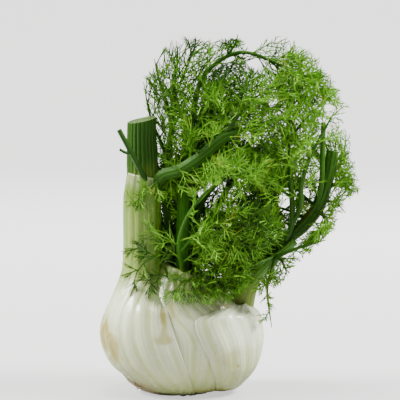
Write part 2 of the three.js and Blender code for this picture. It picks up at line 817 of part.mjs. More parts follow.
function growFrond(name, frond, seed) {
  const random = seeded(seed);
  const solids = [];
  frond.stems.forEach((table, index) => {
    solids.push(stemSolid(table));
    const stem = { ...pathOf(table), index };
    for (let i = 0; i < frond.pinnae; i += 1) {
      const t = frond.first + ((0.98 - frond.first) * (i + 0.5)) / frond.pinnae;
      const pinna = growPinna(name, frond, stem, t, i, random);
      if (pinna) solids.push(pinna);
    }
  });
  return largestPiece(wasm.Manifold.union(solids));
}

// Assembly

for (const [name, { stems }] of Object.entries(FRONDS)) {
  stems.forEach((table, index) => settleStem(name, table, index));
}
settleStem('sheath_right', RIGHT_SHEATH, 0);
settleStem('stalk_left', CUT_STALK, 0);
settleStem('stalk_left', TWIG, 1);
settleStem('stalk_left', TWIG_STUB, 2);

const sockets = wasm.Manifold.union([
  ...Object.values(FRONDS).map(({ stems }) => stemSolid(stems[0], SOCKET_GAP)),
  cutStalk(SOCKET_GAP),
  tube(TWIG, 6, 5, SOCKET_GAP),
]);
const plate = rootPlate(ROOT_GAP);
const core = middleSheath(RIM_GAP);
const rightLeaf = rightSheath(SOCKET_GAP);
const crossStalk = stemSolid(FRONDS.frond_cross.stems[0], SOCKET_GAP);
const cutStalkAndTwig = wasm.Manifold.union([cutStalk(), tube(TWIG, 6, 5), tube(TWIG_STUB, 5, 3)]);

const part = new THREE.Group();

function add(name, solid, look) {
  const mesh = new THREE.Mesh(geometryOf(solid), new THREE.MeshStandardMaterial(look));
  mesh.name = name;
  part.add(mesh);
}

// A solid with some others taken out of it
function cut(solid, ...others) {
  return largestPiece(others.reduce((left, other) => left.subtract(other), solid));
}

add('root_plate', rootPlate(), ROOT_TAN);
add('sheath_left', cut(leftSheath(), sockets, plate, core), WHITE_SHEATH);
add('sheath_middle', cut(middleSheath(), sockets, plate, rightLeaf), WHITE_SHEATH);
add('sheath_right_outer', cut(rightOuterSheath(), plate, core, rightLeaf), WHITE_SHEATH);
add('sheath_right', cut(rightSheath(), sockets), PALE_SHEATH);
add('stalk_left', cut(cutStalkAndTwig, crossStalk), STALK_GREEN);
Object.entries(FRONDS).forEach(([name, frond], i) => {
  add(name, growFrond(name, frond, i + 1), frond.colour);
});

export default part;
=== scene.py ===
"""A Florence fennel bulb with cut stalks and feathery fronds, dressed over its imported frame.

Forms are given in millimetres and made in metres: +Z up, +X to the viewer's right, +Y away from the viewer.
"""

import math

import bpy
import numpy as np
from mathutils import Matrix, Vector


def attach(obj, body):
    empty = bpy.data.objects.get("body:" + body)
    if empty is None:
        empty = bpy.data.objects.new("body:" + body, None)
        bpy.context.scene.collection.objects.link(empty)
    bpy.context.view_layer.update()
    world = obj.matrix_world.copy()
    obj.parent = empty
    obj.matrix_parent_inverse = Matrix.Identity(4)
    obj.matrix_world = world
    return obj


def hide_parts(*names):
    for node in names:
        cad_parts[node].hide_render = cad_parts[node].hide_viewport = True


bl_info = {
    "name": "Fennel Bulb",
    "version": (1, 0, 0),
    "blender": (4, 5, 0),
    "location": "View3D > Sidebar > Fennel",
    "description": "A fennel bulb with ribbed sheaths, cut stalks and feathery fronds",
    "category": "Add Mesh",
}

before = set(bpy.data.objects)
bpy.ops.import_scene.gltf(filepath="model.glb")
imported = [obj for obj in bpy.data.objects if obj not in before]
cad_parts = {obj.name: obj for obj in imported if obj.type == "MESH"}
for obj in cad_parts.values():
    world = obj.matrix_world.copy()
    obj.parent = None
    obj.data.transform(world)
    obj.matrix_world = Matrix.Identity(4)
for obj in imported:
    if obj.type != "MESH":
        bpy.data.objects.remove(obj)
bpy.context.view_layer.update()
MM = 0.001
GOLDEN_ANGLE = math.pi * (3 - math.sqrt(5))

# Forms of the bulb

DEPTH_OVER_WIDTH = 0.72

# The bulb's outer form. A row is height, middle in X and half width.
OUTER_FORM = [
    (1.0, 4.0, 25), (3.2, 4.8, 31.5), (8.5, 3.9, 38.4), (13.7, 2.9, 43.9), (19, 1.6, 48.4), (29, 0.3, 52.3),
    (40, -0.2, 53.8), (50, 0, 52), (60, 0.8, 48.6), (66, 1.0, 46.2), (72, 1.2, 43.6), (86, 1.4, 40.2),
]

# The middle sheath. A row is height, middle in X, half width, half depth and tilt in degrees.
MIDDLE_FORM = [
    (1.4, 4.5, 16, 14, 0), (3.2, 5, 22, 19.8, 0), (8.5, 4.4, 28.6, 24.6, 0), (13.7, 3.8, 34, 28.2, 0),
    (19, 3, 38.4, 31.2, 0), (29, 2.6, 42.3, 33.9, 0), (40, 3, 43.8, 34.9, 0), (50, 3.6, 41.4, 33.6, 0),
    (58, 4.4, 35.5, 29.8, 3), (64, 5, 30, 25.6, 6), (70, 6, 25.2, 21.2, 10), (75, 6.6, 22.4, 18, 14),
    (79.5, 7, 20.6, 15.8, 18),
]

# Where the front and back margins of the outer sheaths lie in X, by height.
LEFT_MARGINS = [
    (1, 9, 0), (16, 5, -2), (29, 0.6, -3), (42, -4, -5), (55, -8, -9), (68, -11, -12), (84, -12.4, -12.4),
]
RIGHT_MARGINS = [
    (1.2, 23, 8), (8, 22.4, 8), (17, 20.5, 7), (29, 17, 6), (40, 12, 7), (48, 9, 10), (52.5, 8.8, 15),
    (55.5, 13, 21), (57.5, 20, 27), (59, 27.5, 32), (60.3, 35, 36.5),
]

# The stalk-like top of the left sheath. A row is height, middle in X, half width and half depth.
LEFT_STEM = [
    (56, -27, 20, 24), (66, -27.5, 17.4, 19), (76, -26.4, 14.4, 14.6), (84, -25.7, 13.3, 12.4),
    (97, -25.4, 13, 11), (128, -25.3, 12.9, 10.6), (136, -24.6, 12.3, 10.2), (143, -24.1, 11.3, 9.7),
]
STEM_STARTS = (56, 84)

# The right leaf base, a gutter that opens to the upper left. Paths have rows of X, Y, Z and radius.
RIGHT_SHEATH = [
    (37, 0, 42, 7.5), (38.5, 0, 55, 8.2), (40.5, 0, 67, 8.3), (44.5, 0, 77, 7.7), (52, 0, 86.5, 7),
    (62, 0, 95, 6.4), (71, 0, 103, 6),
]
GUTTER_ANGLE = math.pi * 1.2

CUT_STALK = [(-25.4, 0, 136, 10.2), (-25.6, 0, 150, 10.3), (-26, 0, 165, 9.8), (-26, 0, 179, 9.6)]
CUT_STALK_DEPTH = 0.82
CUT_SLOPE = 11
CUT_LEAN = 7
TWIG = [(-21, -6, 137, 1.8), (-25, -9.6, 144, 1.9), (-31, -11.2, 156, 1.8), (-40.2, -12.4, 173.5, 1.6)]
TWIG_STUB = [(-32.5, -11.5, 158.5, 1.0), (-36, -13, 158.8, 1.0), (-39.8, -14, 161, 0.9)]

# The root plate. A row is height, middle in X, half width and half depth.
ROOT_FORM = [
    (0, 0, 21, 15), (1.6, -2, 24.5, 17), (4.5, -6, 25.6, 18), (8.5, -9.4, 26.8, 18), (11.5, -12, 27, 16.5),
]

# The outline that the foliage fills. A row is height, left and right end in X and half depth.
FOLIAGE_OUTLINE = [
    (28, 50, 60, 34), (54, -33, 60, 44), (66, -40, 62, 46), (84, -41, 72, 50), (98, -41, 89, 52),
    (110, -40, 101, 53), (124, -39, 108, 54), (134, -38, 117, 54), (146, -37, 117, 54), (156, -31, 113, 52),
    (176, -28, 109, 48), (190, -28, 109, 43), (206, -28, 101, 37), (217, -21, 93, 29), (227, -15, 86, 24),
    (234, -6, 72, 18),
]

# Airy places among the fronds. A row is middle in X and Z, half width and half height.
FOLIAGE_GAPS = [
    (14, 127.5, 3, 4), (19.5, 133, 3, 3.5), (-10.5, 115, 1.7, 8), (68.5, 123, 4.2, 9), (82, 128.5, 2.5, 4),
    (48, 216, 5.5, 2.5), (30.5, 216, 1.8, 3), (59, 190, 3, 3), (94, 188, 2.2, 3), (92.5, 176, 2.0, 3.5),
]

# Stems that stay in view. A row is a frond, its stem, the stretch of it, the width kept clear and the share
# of the threads before it that are left out.
STEMS_IN_VIEW = [
    ("frond_arch", 0, 0.08, 0.27, 5.5, 0.9), ("frond_arch", 0, 0.5, 0.95, 2.6, 0.8),
    ("frond_cross", 0, 0.16, 0.64, 4.6, 0.85), ("frond_centre", 0, 0.35, 0.65, 2.8, 0.8),
    ("stalk_right", 0, 0.25, 1.0, 5.0, 0.85), ("stalk_right", 1, 0.3, 1.0, 3.2, 0.9),
    ("frond_right", 0, 0.12, 0.4, 3.0, 0.85), ("frond_right", 1, 0.2, 0.5, 2.5, 0.8),
    ("sheath_right", 0, 0.62, 1.0, 5.5, 0.8),
]

# Each frond: its stems, each with the number and the reach of its side stems. Then the share of a stem
# where they begin, the length of their threads, how far they lift, how dark they are from 0 to 1 (their own
# tone, and painted shade that keeps the fronds at the back darkest), and how full they are.
FRONDS = {
    "frond_upper_left": {
        "stems": [
            ([(-7, 7, 72, 2.8), (-8.5, 9, 100, 2.6), (-10, 11, 130, 2.3), (-8, 13, 165, 1.7),
              (-5, 13, 198, 1.2), (-3, 12, 226, 0.7)], 24, 44),
            ([(-9, 12, 150, 1.3), (-15, 10, 166, 1.0), (-21, 8, 182, 0.8), (-25, 8, 203, 0.5)], 10, 24),
            ([(-7, 13, 176, 1.3), (-11, 12, 192, 1.0), (-16, 12, 208, 0.7), (-18, 12, 218, 0.5)], 9, 22),
            ([(-7, 13, 182, 1.2), (-2, 14, 200, 0.9), (4, 14, 215, 0.7), (8, 13, 226, 0.4)], 10, 20),
        ],
        "first": 0.34, "thread": 23, "lift": 0.22, "tone": 0.06, "fullness": 0.4, "spread": 0.55,
    },
    "frond_arch": {
        "stems": [
            ([(0, 2, 70, 4.6), (0.5, -1, 98, 4.7), (1, -2, 124, 4.3), (3, 2, 150, 3.2),
              (6.5, 4, 178, 2.2), (14, 5, 207, 1.5), (35, 5, 222, 1.3), (53, 4, 219, 1.1),
              (66, 3, 209, 0.8)], 34, 34),
            ([(5, 3, 168, 1.6), (14, 0, 180, 1.3), (26, -3, 190, 1.0), (42, -4, 198, 0.6)], 13, 29),
            ([(3, 1, 148, 1.5), (10, -4, 164, 1.2), (16, -8, 180, 0.9), (20, -8, 198, 0.6)], 13, 27),
            ([(28, 5, 219, 1.1), (32, 3, 224, 0.9), (35, 2, 229, 0.7), (36, 2, 234, 0.5)], 6, 9),
            ([(53, 4, 219, 1.0), (66, 3, 213, 0.8), (79, 2, 206, 0.6), (91, 2, 198, 0.4)], 14, 24),
        ],
        "first": 0.3, "thread": 13, "lift": 0.1, "tone": 0.44, "fullness": 0.95,
    },
    "frond_cross": {
        "stems": [
            ([(-18, -3, 134, 3.6), (-13, -8, 143, 4.2), (0, -13, 148, 4.3), (13, -15.5, 157, 4.1),
              (26, -17, 168, 3.6), (39, -16, 174, 1.5), (54, -13, 178, 1.2), (68, -10, 184, 0.9)], 20, 34),
            ([(26, -16, 168, 1.6), (34, -18, 180, 1.2), (44, -19, 192, 0.9), (58, -18, 202, 0.6)], 12, 22),
            ([(13, -15, 157, 1.5), (20, -20, 150, 1.2), (32, -26, 146, 0.9), (46, -28, 146, 0.6)], 12, 20),
            ([(-12, -8, 143, 0.9), (-19, -12, 137, 0.6), (-25, -14, 131, 0.5), (-31, -14, 126, 0.35)], 5, 10),
        ],
        "first": 0.16, "thread": 13, "lift": 0.0, "tone": 0.58, "fullness": 0.85,
    },
    "frond_centre": {
        "stems": [
            ([(6, 6, 71, 2.3), (9, 7, 92, 2.2), (9.5, 8, 112, 2.1), (15, 6, 128, 2.0), (25, 4, 139, 1.7),
              (36, 3, 146, 1.4), (50, 3, 152, 1.1), (64, 2, 160, 0.8)], 22, 32),
            ([(8, 6, 80, 2.0), (14, 3, 88, 1.7), (22, 0, 97, 1.3), (33, -2, 106, 1.0),
              (47, -3, 116, 0.6)], 14, 22),
            ([(9.5, 8, 104, 1.3), (3, 8, 116, 1.0), (-5, 6, 126, 0.8), (-11, 4, 138, 0.5)], 8, 15),
        ],
        "first": 0.3, "thread": 13, "lift": 0.0, "tone": 0.62, "fullness": 0.9,
    },
    "frond_low_centre": {
        "stems": [
            ([(8, -7, 71, 1.9), (10, -10, 83, 1.9), (16, -15, 94, 1.8), (24, -20, 102, 1.5),
              (34, -24, 107, 1.2), (48, -26, 112, 0.8)], 20, 30),
            ([(9, -9, 78, 1.3), (18, -14, 82, 1.1), (29, -17, 85, 0.9), (42, -18, 90, 0.6)], 13, 19),
            ([(8, -8, 74, 1.2), (15, -16, 76, 1.0), (23, -22, 77, 0.8), (32, -24, 76, 0.5)], 10, 14),
        ],
        "first": 0.16, "thread": 13, "lift": 0.0, "tone": 0.24, "fullness": 1.0,
    },
    "frond_front": {
        "stems": [
            ([(2, -9, 73, 1.6), (0, -15, 86, 1.6), (-2, -22, 100, 1.4), (2, -29, 116, 1.2),
              (12, -34, 132, 1.0), (24, -36, 144, 0.7)], 18, 28),
            ([(-1, -20, 96, 1.1), (8, -26, 106, 0.9), (20, -31, 114, 0.7), (33, -33, 124, 0.5)], 11, 20),
        ],
        "first": 0.2, "thread": 13, "lift": 0.0, "tone": 0.54, "fullness": 0.8,
    },
    "frond_low_left": {
        "stems": [
            ([(-8, -9, 75, 1.0), (-11.5, -15, 85, 0.8), (-16, -19, 92, 0.65), (-23, -20, 96, 0.5),
              (-29, -19, 99, 0.4)], 5, 12),
            ([(-16, -19, 92, 0.6), (-22, -20, 90, 0.5), (-28, -21, 84, 0.45), (-31.5, -22, 74, 0.35)], 4, 10),
            ([(-8, -10, 77, 0.7), (-13, -18, 80, 0.6), (-18, -22, 79, 0.5), (-21, -23, 75, 0.35)], 4, 9),
        ],
        "first": 0.3, "thread": 12, "lift": -0.2, "tone": 0.12, "fullness": 0.4, "spread": 0.75,
    },
    "frond_shoulder": {
        "stems": [
            ([(3, -12, 74, 1.2), (6, -21, 78, 1.1), (9, -28, 75, 0.9), (13, -34, 69, 0.6)], 8, 14),
            ([(6, -21, 78, 0.9), (0, -28, 77, 0.8), (-4, -32, 72, 0.6)], 6, 12),
            ([(4, -14, 75, 0.9), (14, -22, 78, 0.8), (22, -28, 76, 0.6), (27, -31, 70, 0.4)], 7, 12),
        ],
        "first": 0.2, "thread": 12, "lift": -0.3, "tone": 0.25, "fullness": 0.4, "spread": 0.8,
    },
    "stalk_right": {
        "stems": [
            ([(67, 0, 99.5, 3.2), (78, -1, 109, 4.4), (88, -1, 122, 4.6), (94, -1, 140, 4.4),
              (97.5, -1, 159, 4.1)], 7, 20),
            ([(88, -4, 125, 1.8), (90, -8, 138, 1.8), (90.5, -9, 158, 1.7), (91, -9, 178, 1.6)], 3, 15),
            ([(94, -2, 134, 1.3), (102, -4, 139, 1.1), (110, -6, 139, 0.7)], 14, 22),
            ([(86, -4, 120, 1.3), (92, -9, 117, 1.1), (93, -12, 110, 0.9), (84, -14, 107, 0.6)], 22, 18),
            ([(88, 1, 122, 1.3), (80, 7, 128, 1.1), (71, 10, 138, 0.9), (62, 12, 150, 0.5)], 13, 18),
            ([(82, 1, 114, 1.3), (72, 8, 118, 1.0), (61, 10, 122, 0.8), (50, 10, 130, 0.5)], 10, 17),
            ([(95, 1, 144, 1.1), (102, 4, 149, 0.9), (109, 6, 158, 0.5)], 12, 20),
            ([(91, -3, 126, 1.1), (99, -5, 126, 0.8), (106, -6, 119, 0.5)], 13, 18),
        ],
        "first": 0.4, "thread": 13, "lift": 0.0, "tone": 0.52, "fullness": 0.8,
    },
    "frond_right": {
        "stems": [
            ([(67, -5, 101, 1.6), (71, -8, 112, 2.0), (70.5, -9, 135, 1.7), (69, -7, 155, 1.4),
              (69, -2, 176, 1.1), (73, 2, 196, 0.9), (82, 3, 210, 0.7)], 20, 30),
            ([(71, -8, 112, 1.4), (76, -10, 122, 1.8), (77, -13, 138, 1.6), (82, -17, 156, 1.2),
              (90, -20, 172, 1.0), (98, -19, 187, 0.7)], 8, 22),
            ([(67, -5, 102, 1.1), (60, -12, 106, 0.9), (51, -18, 110, 0.7), (42, -20, 116, 0.5)], 12, 18),
            ([(69, -4, 166, 1.1), (80, -4, 180, 0.8), (92, -2, 191, 0.6), (102, 0, 198, 0.4)], 14, 22),
            ([(70, -9, 130, 1.1), (62, -11, 136, 0.9), (54, -12, 144, 0.7), (50, -12, 154, 0.4)], 11, 16),
        ],
        "first": 0.3, "thread": 14, "lift": 0.1, "tone": 0.7, "fullness": 0.7,
    },
    "frond_right_low": {
        "stems": [
            ([(57, -3, 88, 1.5), (62, -14, 92, 1.4), (72, -19, 97, 1.2), (84, -20, 101, 0.9),
              (93, -18, 103, 0.6)], 11, 17),
            ([(62, -14, 92, 1.2), (58, -19, 84, 1.0), (55, -20, 72, 0.9), (56, -20, 60, 0.7),
              (58, -20, 46, 0.5)], 7, 11),
            ([(60, -11, 91, 1.2), (50, -18, 88, 1.0), (42, -20, 84, 0.8), (36, -20, 78, 0.5)], 11, 15),
            ([(62, -14, 92, 1.0), (66, -18, 86, 0.8), (68, -18, 79, 0.5)], 10, 13),
            ([(60, -12, 91, 1.0), (57, -17, 86, 0.8), (54, -21, 81, 0.5)], 8, 11),
        ],
        "first": 0.2, "thread": 11, "lift": -0.15, "tone": 0.44, "fullness": 0.85,
    },
    "frond_back_left": {
        "stems": [
            ([(-3, 11, 72, 2.6), (-8, 20, 98, 2.4), (-12, 28, 126, 2.0), (-10, 34, 156, 1.5),
              (-4, 36, 184, 1.1), (4, 34, 204, 0.7)], 32, 33),
            ([(-10, 24, 112, 1.4), (0, 26, 128, 1.2), (10, 26, 146, 0.9), (16, 24, 166, 0.6)], 18, 22),
            ([(-6, 16, 88, 1.3), (-9, 18, 104, 1.1), (-10, 18, 124, 0.9), (-8, 18, 146, 0.6)], 22, 16),
            ([(-5, 14, 78, 0.9), (-11, 16, 87, 0.7), (-12, 17, 99, 0.5)], 18, 13),
        ],
        "first": 0.02, "thread": 14, "lift": 0.1, "tone": 0.06, "fullness": 1.1,
    },
    "frond_back": {
        "stems": [
            ([(4, 12, 72, 2.8), (12, 22, 96, 2.5), (24, 29, 120, 2.1), (38, 32, 146, 1.6), (50, 31, 172, 1.1),
              (58, 27, 194, 0.7)], 28, 34),
            ([(34, 31, 138, 1.3), (50, 28, 144, 1.1), (66, 24, 152, 0.9), (82, 20, 164, 0.6)], 12, 23),
            ([(30, 30, 130, 1.2), (30, 28, 150, 1.0), (26, 24, 172, 0.8), (24, 20, 196, 0.6)], 18, 22),
            ([(10, 20, 92, 1.3), (6, 20, 108, 1.1), (6, 18, 128, 0.9), (8, 16, 148, 0.6)], 20, 18),
            ([(5, 14, 76, 0.9), (5, 17, 88, 0.7), (4, 18, 101, 0.5)], 18, 13),
        ],
        "first": 0.04, "thread": 14, "lift": 0.0, "tone": 0.24, "fullness": 0.85,
    },
    "frond_back_low": {
        "stems": [
            ([(14, 9, 70, 2.0), (25, 18, 84, 1.8), (40, 26, 97, 1.5), (57, 29, 109, 1.2),
              (74, 28, 122, 0.8)], 26, 28),
            ([(20, 14, 77, 1.2), (32, 14, 80, 1.0), (45, 14, 84, 0.8), (60, 14, 92, 0.5)], 18, 18),
            ([(40, 26, 97, 1.2), (46, 22, 110, 1.0), (54, 18, 122, 0.8), (60, 16, 136, 0.5)], 18, 18),
        ],
        "first": 0.12, "thread": 13, "lift": -0.1, "tone": 0.08, "fullness": 1.1,
    },
}


# Settings


class FennelBulbSettings(bpy.types.PropertyGroup):
    """Sizes and colours of the bulb's sheaths and root plate"""

    rib_depth: bpy.props.FloatProperty(
        name="Rib Depth", description="Depth of the furrows between the bulb's ribs",
        default=0.6 * MM, min=0, unit="LENGTH",
    )
    wall: bpy.props.FloatProperty(
        name="Sheath Wall", description="Thickness of a sheath at its margin",
        default=1.3 * MM, min=0, unit="LENGTH",
    )
    root_roughness: bpy.props.FloatProperty(
        name="Root Roughness", description="Height of the root plate's crumbs",
        default=0.5 * MM, min=0, unit="LENGTH",
    )
    white: bpy.props.FloatVectorProperty(
        name="White", description="Colour of the bulb", subtype="COLOR", size=4, min=0, max=1,
        default=(0.62, 0.67, 0.43, 1),
    )
    vein: bpy.props.FloatVectorProperty(
        name="Vein", description="Colour of the vein lines in the furrows",
        subtype="COLOR", size=4, min=0, max=1,
        default=(0.42, 0.47, 0.14, 1),
    )
    pale_green: bpy.props.FloatVectorProperty(
        name="Pale Green", description="Colour of the stem above the bulb",
        subtype="COLOR", size=4, min=0, max=1,
        default=(0.21, 0.32, 0.034, 1),
    )
    stain: bpy.props.FloatVectorProperty(
        name="Stain", description="Colour of the tan stains", subtype="COLOR", size=4, min=0, max=1,
        default=(0.35, 0.29, 0.06, 1),
    )


class FennelFrondSettings(bpy.types.PropertyGroup):
    """Sizes and colours of the stalks and fronds"""

    thread_radius: bpy.props.FloatProperty(
        name="Thread Radius", description="Radius of a leaf thread at its root",
        default=0.34 * MM, min=0, unit="LENGTH",
    )
    pinnules: bpy.props.IntProperty(
        name="Pinnules", description="Small stems on each side stem of a full frond", default=10, min=1,
    )
    threads: bpy.props.IntProperty(
        name="Threads", description="Threads on each small stem", default=4, min=1,
    )
    forks: bpy.props.IntProperty(
        name="Forks", description="Side tips on each thread", default=1, min=0,
    )
    dark: bpy.props.FloatVectorProperty(
        name="Dark Thread", description="Colour of the darkest threads",
        subtype="COLOR", size=4, min=0, max=1,
        default=(0.010, 0.048, 0.003, 1),
    )
    bright: bpy.props.FloatVectorProperty(
        name="Bright Thread", description="Colour of the lightest threads",
        subtype="COLOR", size=4, min=0, max=1,
        default=(0.185, 0.44, 0.02, 1),
    )
    stalk: bpy.props.FloatVectorProperty(
        name="Stalk", description="Colour of the stalks", subtype="COLOR", size=4, min=0, max=1,
        default=(0.012, 0.046, 0.004, 1),
    )
    stalk_rib: bpy.props.FloatVectorProperty(
        name="Stalk Rib", description="Colour of the ribs along a stalk",
        subtype="COLOR", size=4, min=0, max=1,
        default=(0.04, 0.105, 0.012, 1),
    )


class FennelStageSettings(bpy.types.PropertyGroup):
    """Camera, floor and lights"""

    focal_length: bpy.props.FloatProperty(
        name="Focal Length", description="Focal length of the camera in millimetres", default=180, min=1,
    )
    elevation: bpy.props.FloatProperty(
        name="Elevation", description="How far the camera looks down",
        subtype="ANGLE", default=math.radians(6.5),
    )
    view_width: bpy.props.FloatProperty(
        name="View Width", description="Width of the view at the bulb's middle",
        default=260 * MM, unit="LENGTH",
    )
    backdrop: bpy.props.FloatVectorProperty(
        name="Backdrop", description="Colour of the floor and backdrop",
        subtype="COLOR", size=4, min=0, max=1,
        default=(0.93, 0.93, 0.92, 1),
    )


# Curves and surfaces


def lerp(a, b, share):
    return a + (b - a) * share


def smoothstep(value, low, high):
    share = min(max((value - low) / (high - low), 0), 1)
    return share * share * (3 - 2 * share)


def along(table, key):
    """The values of a table's rows at a key, on a smooth curve through the rows."""
    last = len(table) - 1
    i = 0
    while i < last - 1 and key > table[i + 1][0]:
        i += 1
    span = table[i + 1][0] - table[i][0]
    t = min(max((key - table[i][0]) / span, 0), 1)

    def slope(j, column):
        a, b = table[max(j - 1, 0)], table[min(j + 1, last)]
        return (b[column] - a[column]) / (b[0] - a[0]) * span

    row = []
    for column in range(1, len(table[0])):
        p, q = table[i][column], table[i + 1][column]
        dp, dq = slope(i, column), slope(i + 1, column)
        row.append(p + t * (dp + t * (3 * (q - p) - 2 * dp - dq + t * (2 * (p - q) + dp + dq))))
    return row


class Path:
    """A smooth path through rows of X, Y, Z and radius, with knots spaced by the square root of distance."""

    def __init__(self, table):
        self.points = np.array([row[:3] for row in table], float)
        self.radii = np.array([row[3] for row in table], float)

    def segment(self, i):
        points = self.points
        last = len(points) - 1
        before = points[i - 1] if i > 0 else 2 * points[0] - points[1]
        after = points[i + 2] if i + 2 <= last else 2 * points[last] - points[last - 1]
        a, b = points[i], points[i + 1]
        d0, d1, d2 = (max(np.linalg.norm(q - p), 1e-6) ** 0.5 for p, q in ((before, a), (a, b), (b, after)))
        start = ((a - before) / d0 - (b - before) / (d0 + d1) + (b - a) / d1) * d1
        end = ((b - a) / d1 - (after - a) / (d1 + d2) + (after - b) / d2) * d1
        return a, start, -3 * a + 3 * b - 2 * start - end, 2 * a - 2 * b + start + end

    def locate(self, t):
        place = min(max(t, 0), 1) * (len(self.points) - 1)
        i = min(int(place), len(self.points) - 2)
        return i, place - i

    def point(self, t):
        i, w = self.locate(t)
        c0, c1, c2, c3 = self.segment(i)
        return c0 + w * (c1 + w * (c2 + w * c3))

    def tangent(self, t):
        i, w = self.locate(t)
        _, c1, c2, c3 = self.segment(i)
        slope = c1 + w * (2 * c2 + w * 3 * c3)
        return slope / np.linalg.norm(slope)

    def radius(self, t):
        i, w = self.locate(t)
        return lerp(self.radii[i], self.radii[i + 1], w)


def frames_of(tangents):
    """Two directions across each tangent: one near +X, one near +Y."""
    tangents = np.asarray(tangents, float)
    depth = np.array([0.0, 1.0, 0.0]) - tangents * tangents[..., 1:2]
    flat = np.linalg.norm(depth, axis=-1, keepdims=True)
    depth = np.where(flat > 1e-3, depth / np.maximum(flat, 1e-9), np.array([1.0, 0.0, 0.0]))
    return np.cross(depth, tangents), depth


def furrow(share, ribs):
    """0 on a rib and 1 in a furrow, at a share of the way across the ribs."""
    return 0.5 - 0.5 * math.cos(2 * math.pi * share * ribs)


def turn_at(x, middle, half_width):
    return math.acos(min(max((middle - x) / half_width, -1), 1))


def oval_point(turn, middle, half_width, half_depth):
    """A point on an oval, by its angle from the left end through the front."""
    return middle - half_width * math.cos(turn), -half_depth * math.sin(turn)


# Modelling


def select_only(piece):
    bpy.ops.object.select_all(action="DESELECT")
    piece.select_set(True)
    bpy.context.view_layer.objects.active = piece


def edit(piece, *steps):
    """Runs mesh operators in edit mode on the whole piece."""
    select_only(piece)
    bpy.ops.object.mode_set(mode="EDIT")
    for step in steps:
        bpy.ops.mesh.select_all(action="SELECT")
        step()
    bpy.ops.object.mode_set(mode="OBJECT")


def sheet(name, columns, rows, place, thickness=None):
    """A grid primitive laid over a surface: place(u, v) is a point in millimetres.

    thickness(u, v) is the share of the wall that the sheet gets there.
    """
    bpy.ops.object.select_all(action="DESELECT")
    bpy.ops.mesh.primitive_grid_add(x_subdivisions=columns, y_subdivisions=rows, size=1, location=(0, 0, 0))
    piece = bpy.context.object
    piece.name = piece.data.name = name
    group = piece.vertex_groups.new(name="Wall") if thickness else None
    for vertex in piece.data.vertices:
        u, v = vertex.co.x + 0.5, vertex.co.y + 0.5
        if group:
            group.add([vertex.index], thickness(u, v), "REPLACE")
        vertex.co = Vector(place(u, v)) * MM
    return piece


def merge(piece):
    edit(
        piece,
        lambda: bpy.ops.mesh.remove_doubles(threshold=1e-6),
        lambda: bpy.ops.mesh.normals_make_consistent(inside=False),
    )


def thicken(piece, wall, outwards_from):
    """Gives an open sheet a wall on its inner side. outwards_from is a point inside its curve."""
    centre = Vector(outwards_from) * MM
    outward = sum((p.center - centre).dot(p.normal) for p in piece.data.polygons)
    if outward < 0:
        edit(piece, lambda: bpy.ops.mesh.flip_normals())
    select_only(piece)
    solidify = piece.modifiers.new("Wall", "SOLIDIFY")
    solidify.thickness = wall
    solidify.offset = -1
    if piece.vertex_groups:
        solidify.vertex_group = "Wall"
    bpy.ops.object.modifier_apply(modifier=solidify.name)
    piece.vertex_groups.clear()


def tube_sheet(name, table, columns, rows, section=None, start_cap=(0.0,), end_cap=(0.0,)):
    """A tube along a path, closed at its ends. section(angle, t) scales the radius there."""
    path = Path(table)
    caps = len(start_cap), len(end_cap)
    steps = rows - sum(caps)

    def place(u, v):
        row = round(v * rows)
        if row < caps[0]:
            t, shrink = 0.0, start_cap[row]
        elif row > rows - caps[1]:
            t, shrink = 1.0, end_cap[rows - row]
        else:
            t, shrink = (row - caps[0]) / steps, 1.0
        angle = 2 * math.pi * u
        reach = path.radius(t) * shrink * (section(angle, t) if section else 1)
        across, depth = frames_of(path.tangent(t))
        return path.point(t) + reach * (math.cos(angle) * across + math.sin(angle) * depth)

    piece = sheet(name, columns, rows, place)
    merge(piece)
    return piece


def finish_piece(piece, nodes, materials, smooth_angle=None):
    """Smooths a piece, gives it its materials and ties it to the frame."""
    if not piece.data.polygons:
        raise RuntimeError(f"{piece.name} has no faces")
    select_only(piece)
    if smooth_angle is None:
        bpy.ops.object.shade_smooth()
    else:
        bpy.ops.object.shade_smooth_by_angle(angle=math.radians(smooth_angle))
    if not piece.data.materials:
        for material in materials:
            piece.data.materials.append(material)
    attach(piece, "root")
    if nodes:
        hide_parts(*nodes)
    return piece


# Sheaths


def margin_thickness(u, v=0.0):
    """The share of the wall that a sheath has near its side margins and its upper one."""
    return lerp(0.22, 1.0, smoothstep(min(u, 1 - u), 0, 0.08) * smoothstep(1 - v, 0, 0.12))


def crescent_point(z, u, span, ribs, rib_depth, wall):
    """A point on an outer sheath: full in its middle, and lying close on the bulb at its margins."""
    middle, half_width = along(OUTER_FORM, z)
    core_middle, core_width, core_depth, _ = along(MIDDLE_FORM, min(z, MIDDLE_HEIGHT))
    first, last = span(middle, half_width)
    core_first, core_last = span(core_middle, core_width + wall)
    relief = rib_depth * smoothstep(z, 0, 12) * furrow(u, ribs)
    half_depth = half_width * DEPTH_OVER_WIDTH
    outer = oval_point(lerp(first, last, u), middle, half_width - relief, half_depth - relief)
    turn = lerp(core_first, core_last, u)
    lying = wall * margin_thickness(u) + LYING_GAP
    inner = oval_point(turn, core_middle, core_width + lying, core_depth + lying)
    from_margin = min(u, 1 - u) * (last - first) * half_width * 0.75
    share = smoothstep(from_margin, -2, 15)
    return lerp(inner[0], outer[0], share), lerp(inner[1], outer[1], share)


LEFT_RIBS = 14
MIDDLE_RIBS = 24
RIGHT_RIBS = 11
STEM_BACK = 2.2
LEFT_HEIGHTS = (0.5, 143)
SCAB_PLACE = 0.56
MIDDLE_TWIST = 0.85
TWIST_HEIGHTS = (36, 80)
STEM_GUTTER = 1.0
MIDDLE_HEIGHT = MIDDLE_FORM[-1][0]
RIGHT_HEIGHT = RIGHT_MARGINS[-1][0]
LYING_GAP = 0.16  # air under a margin that lies on the sheath within it


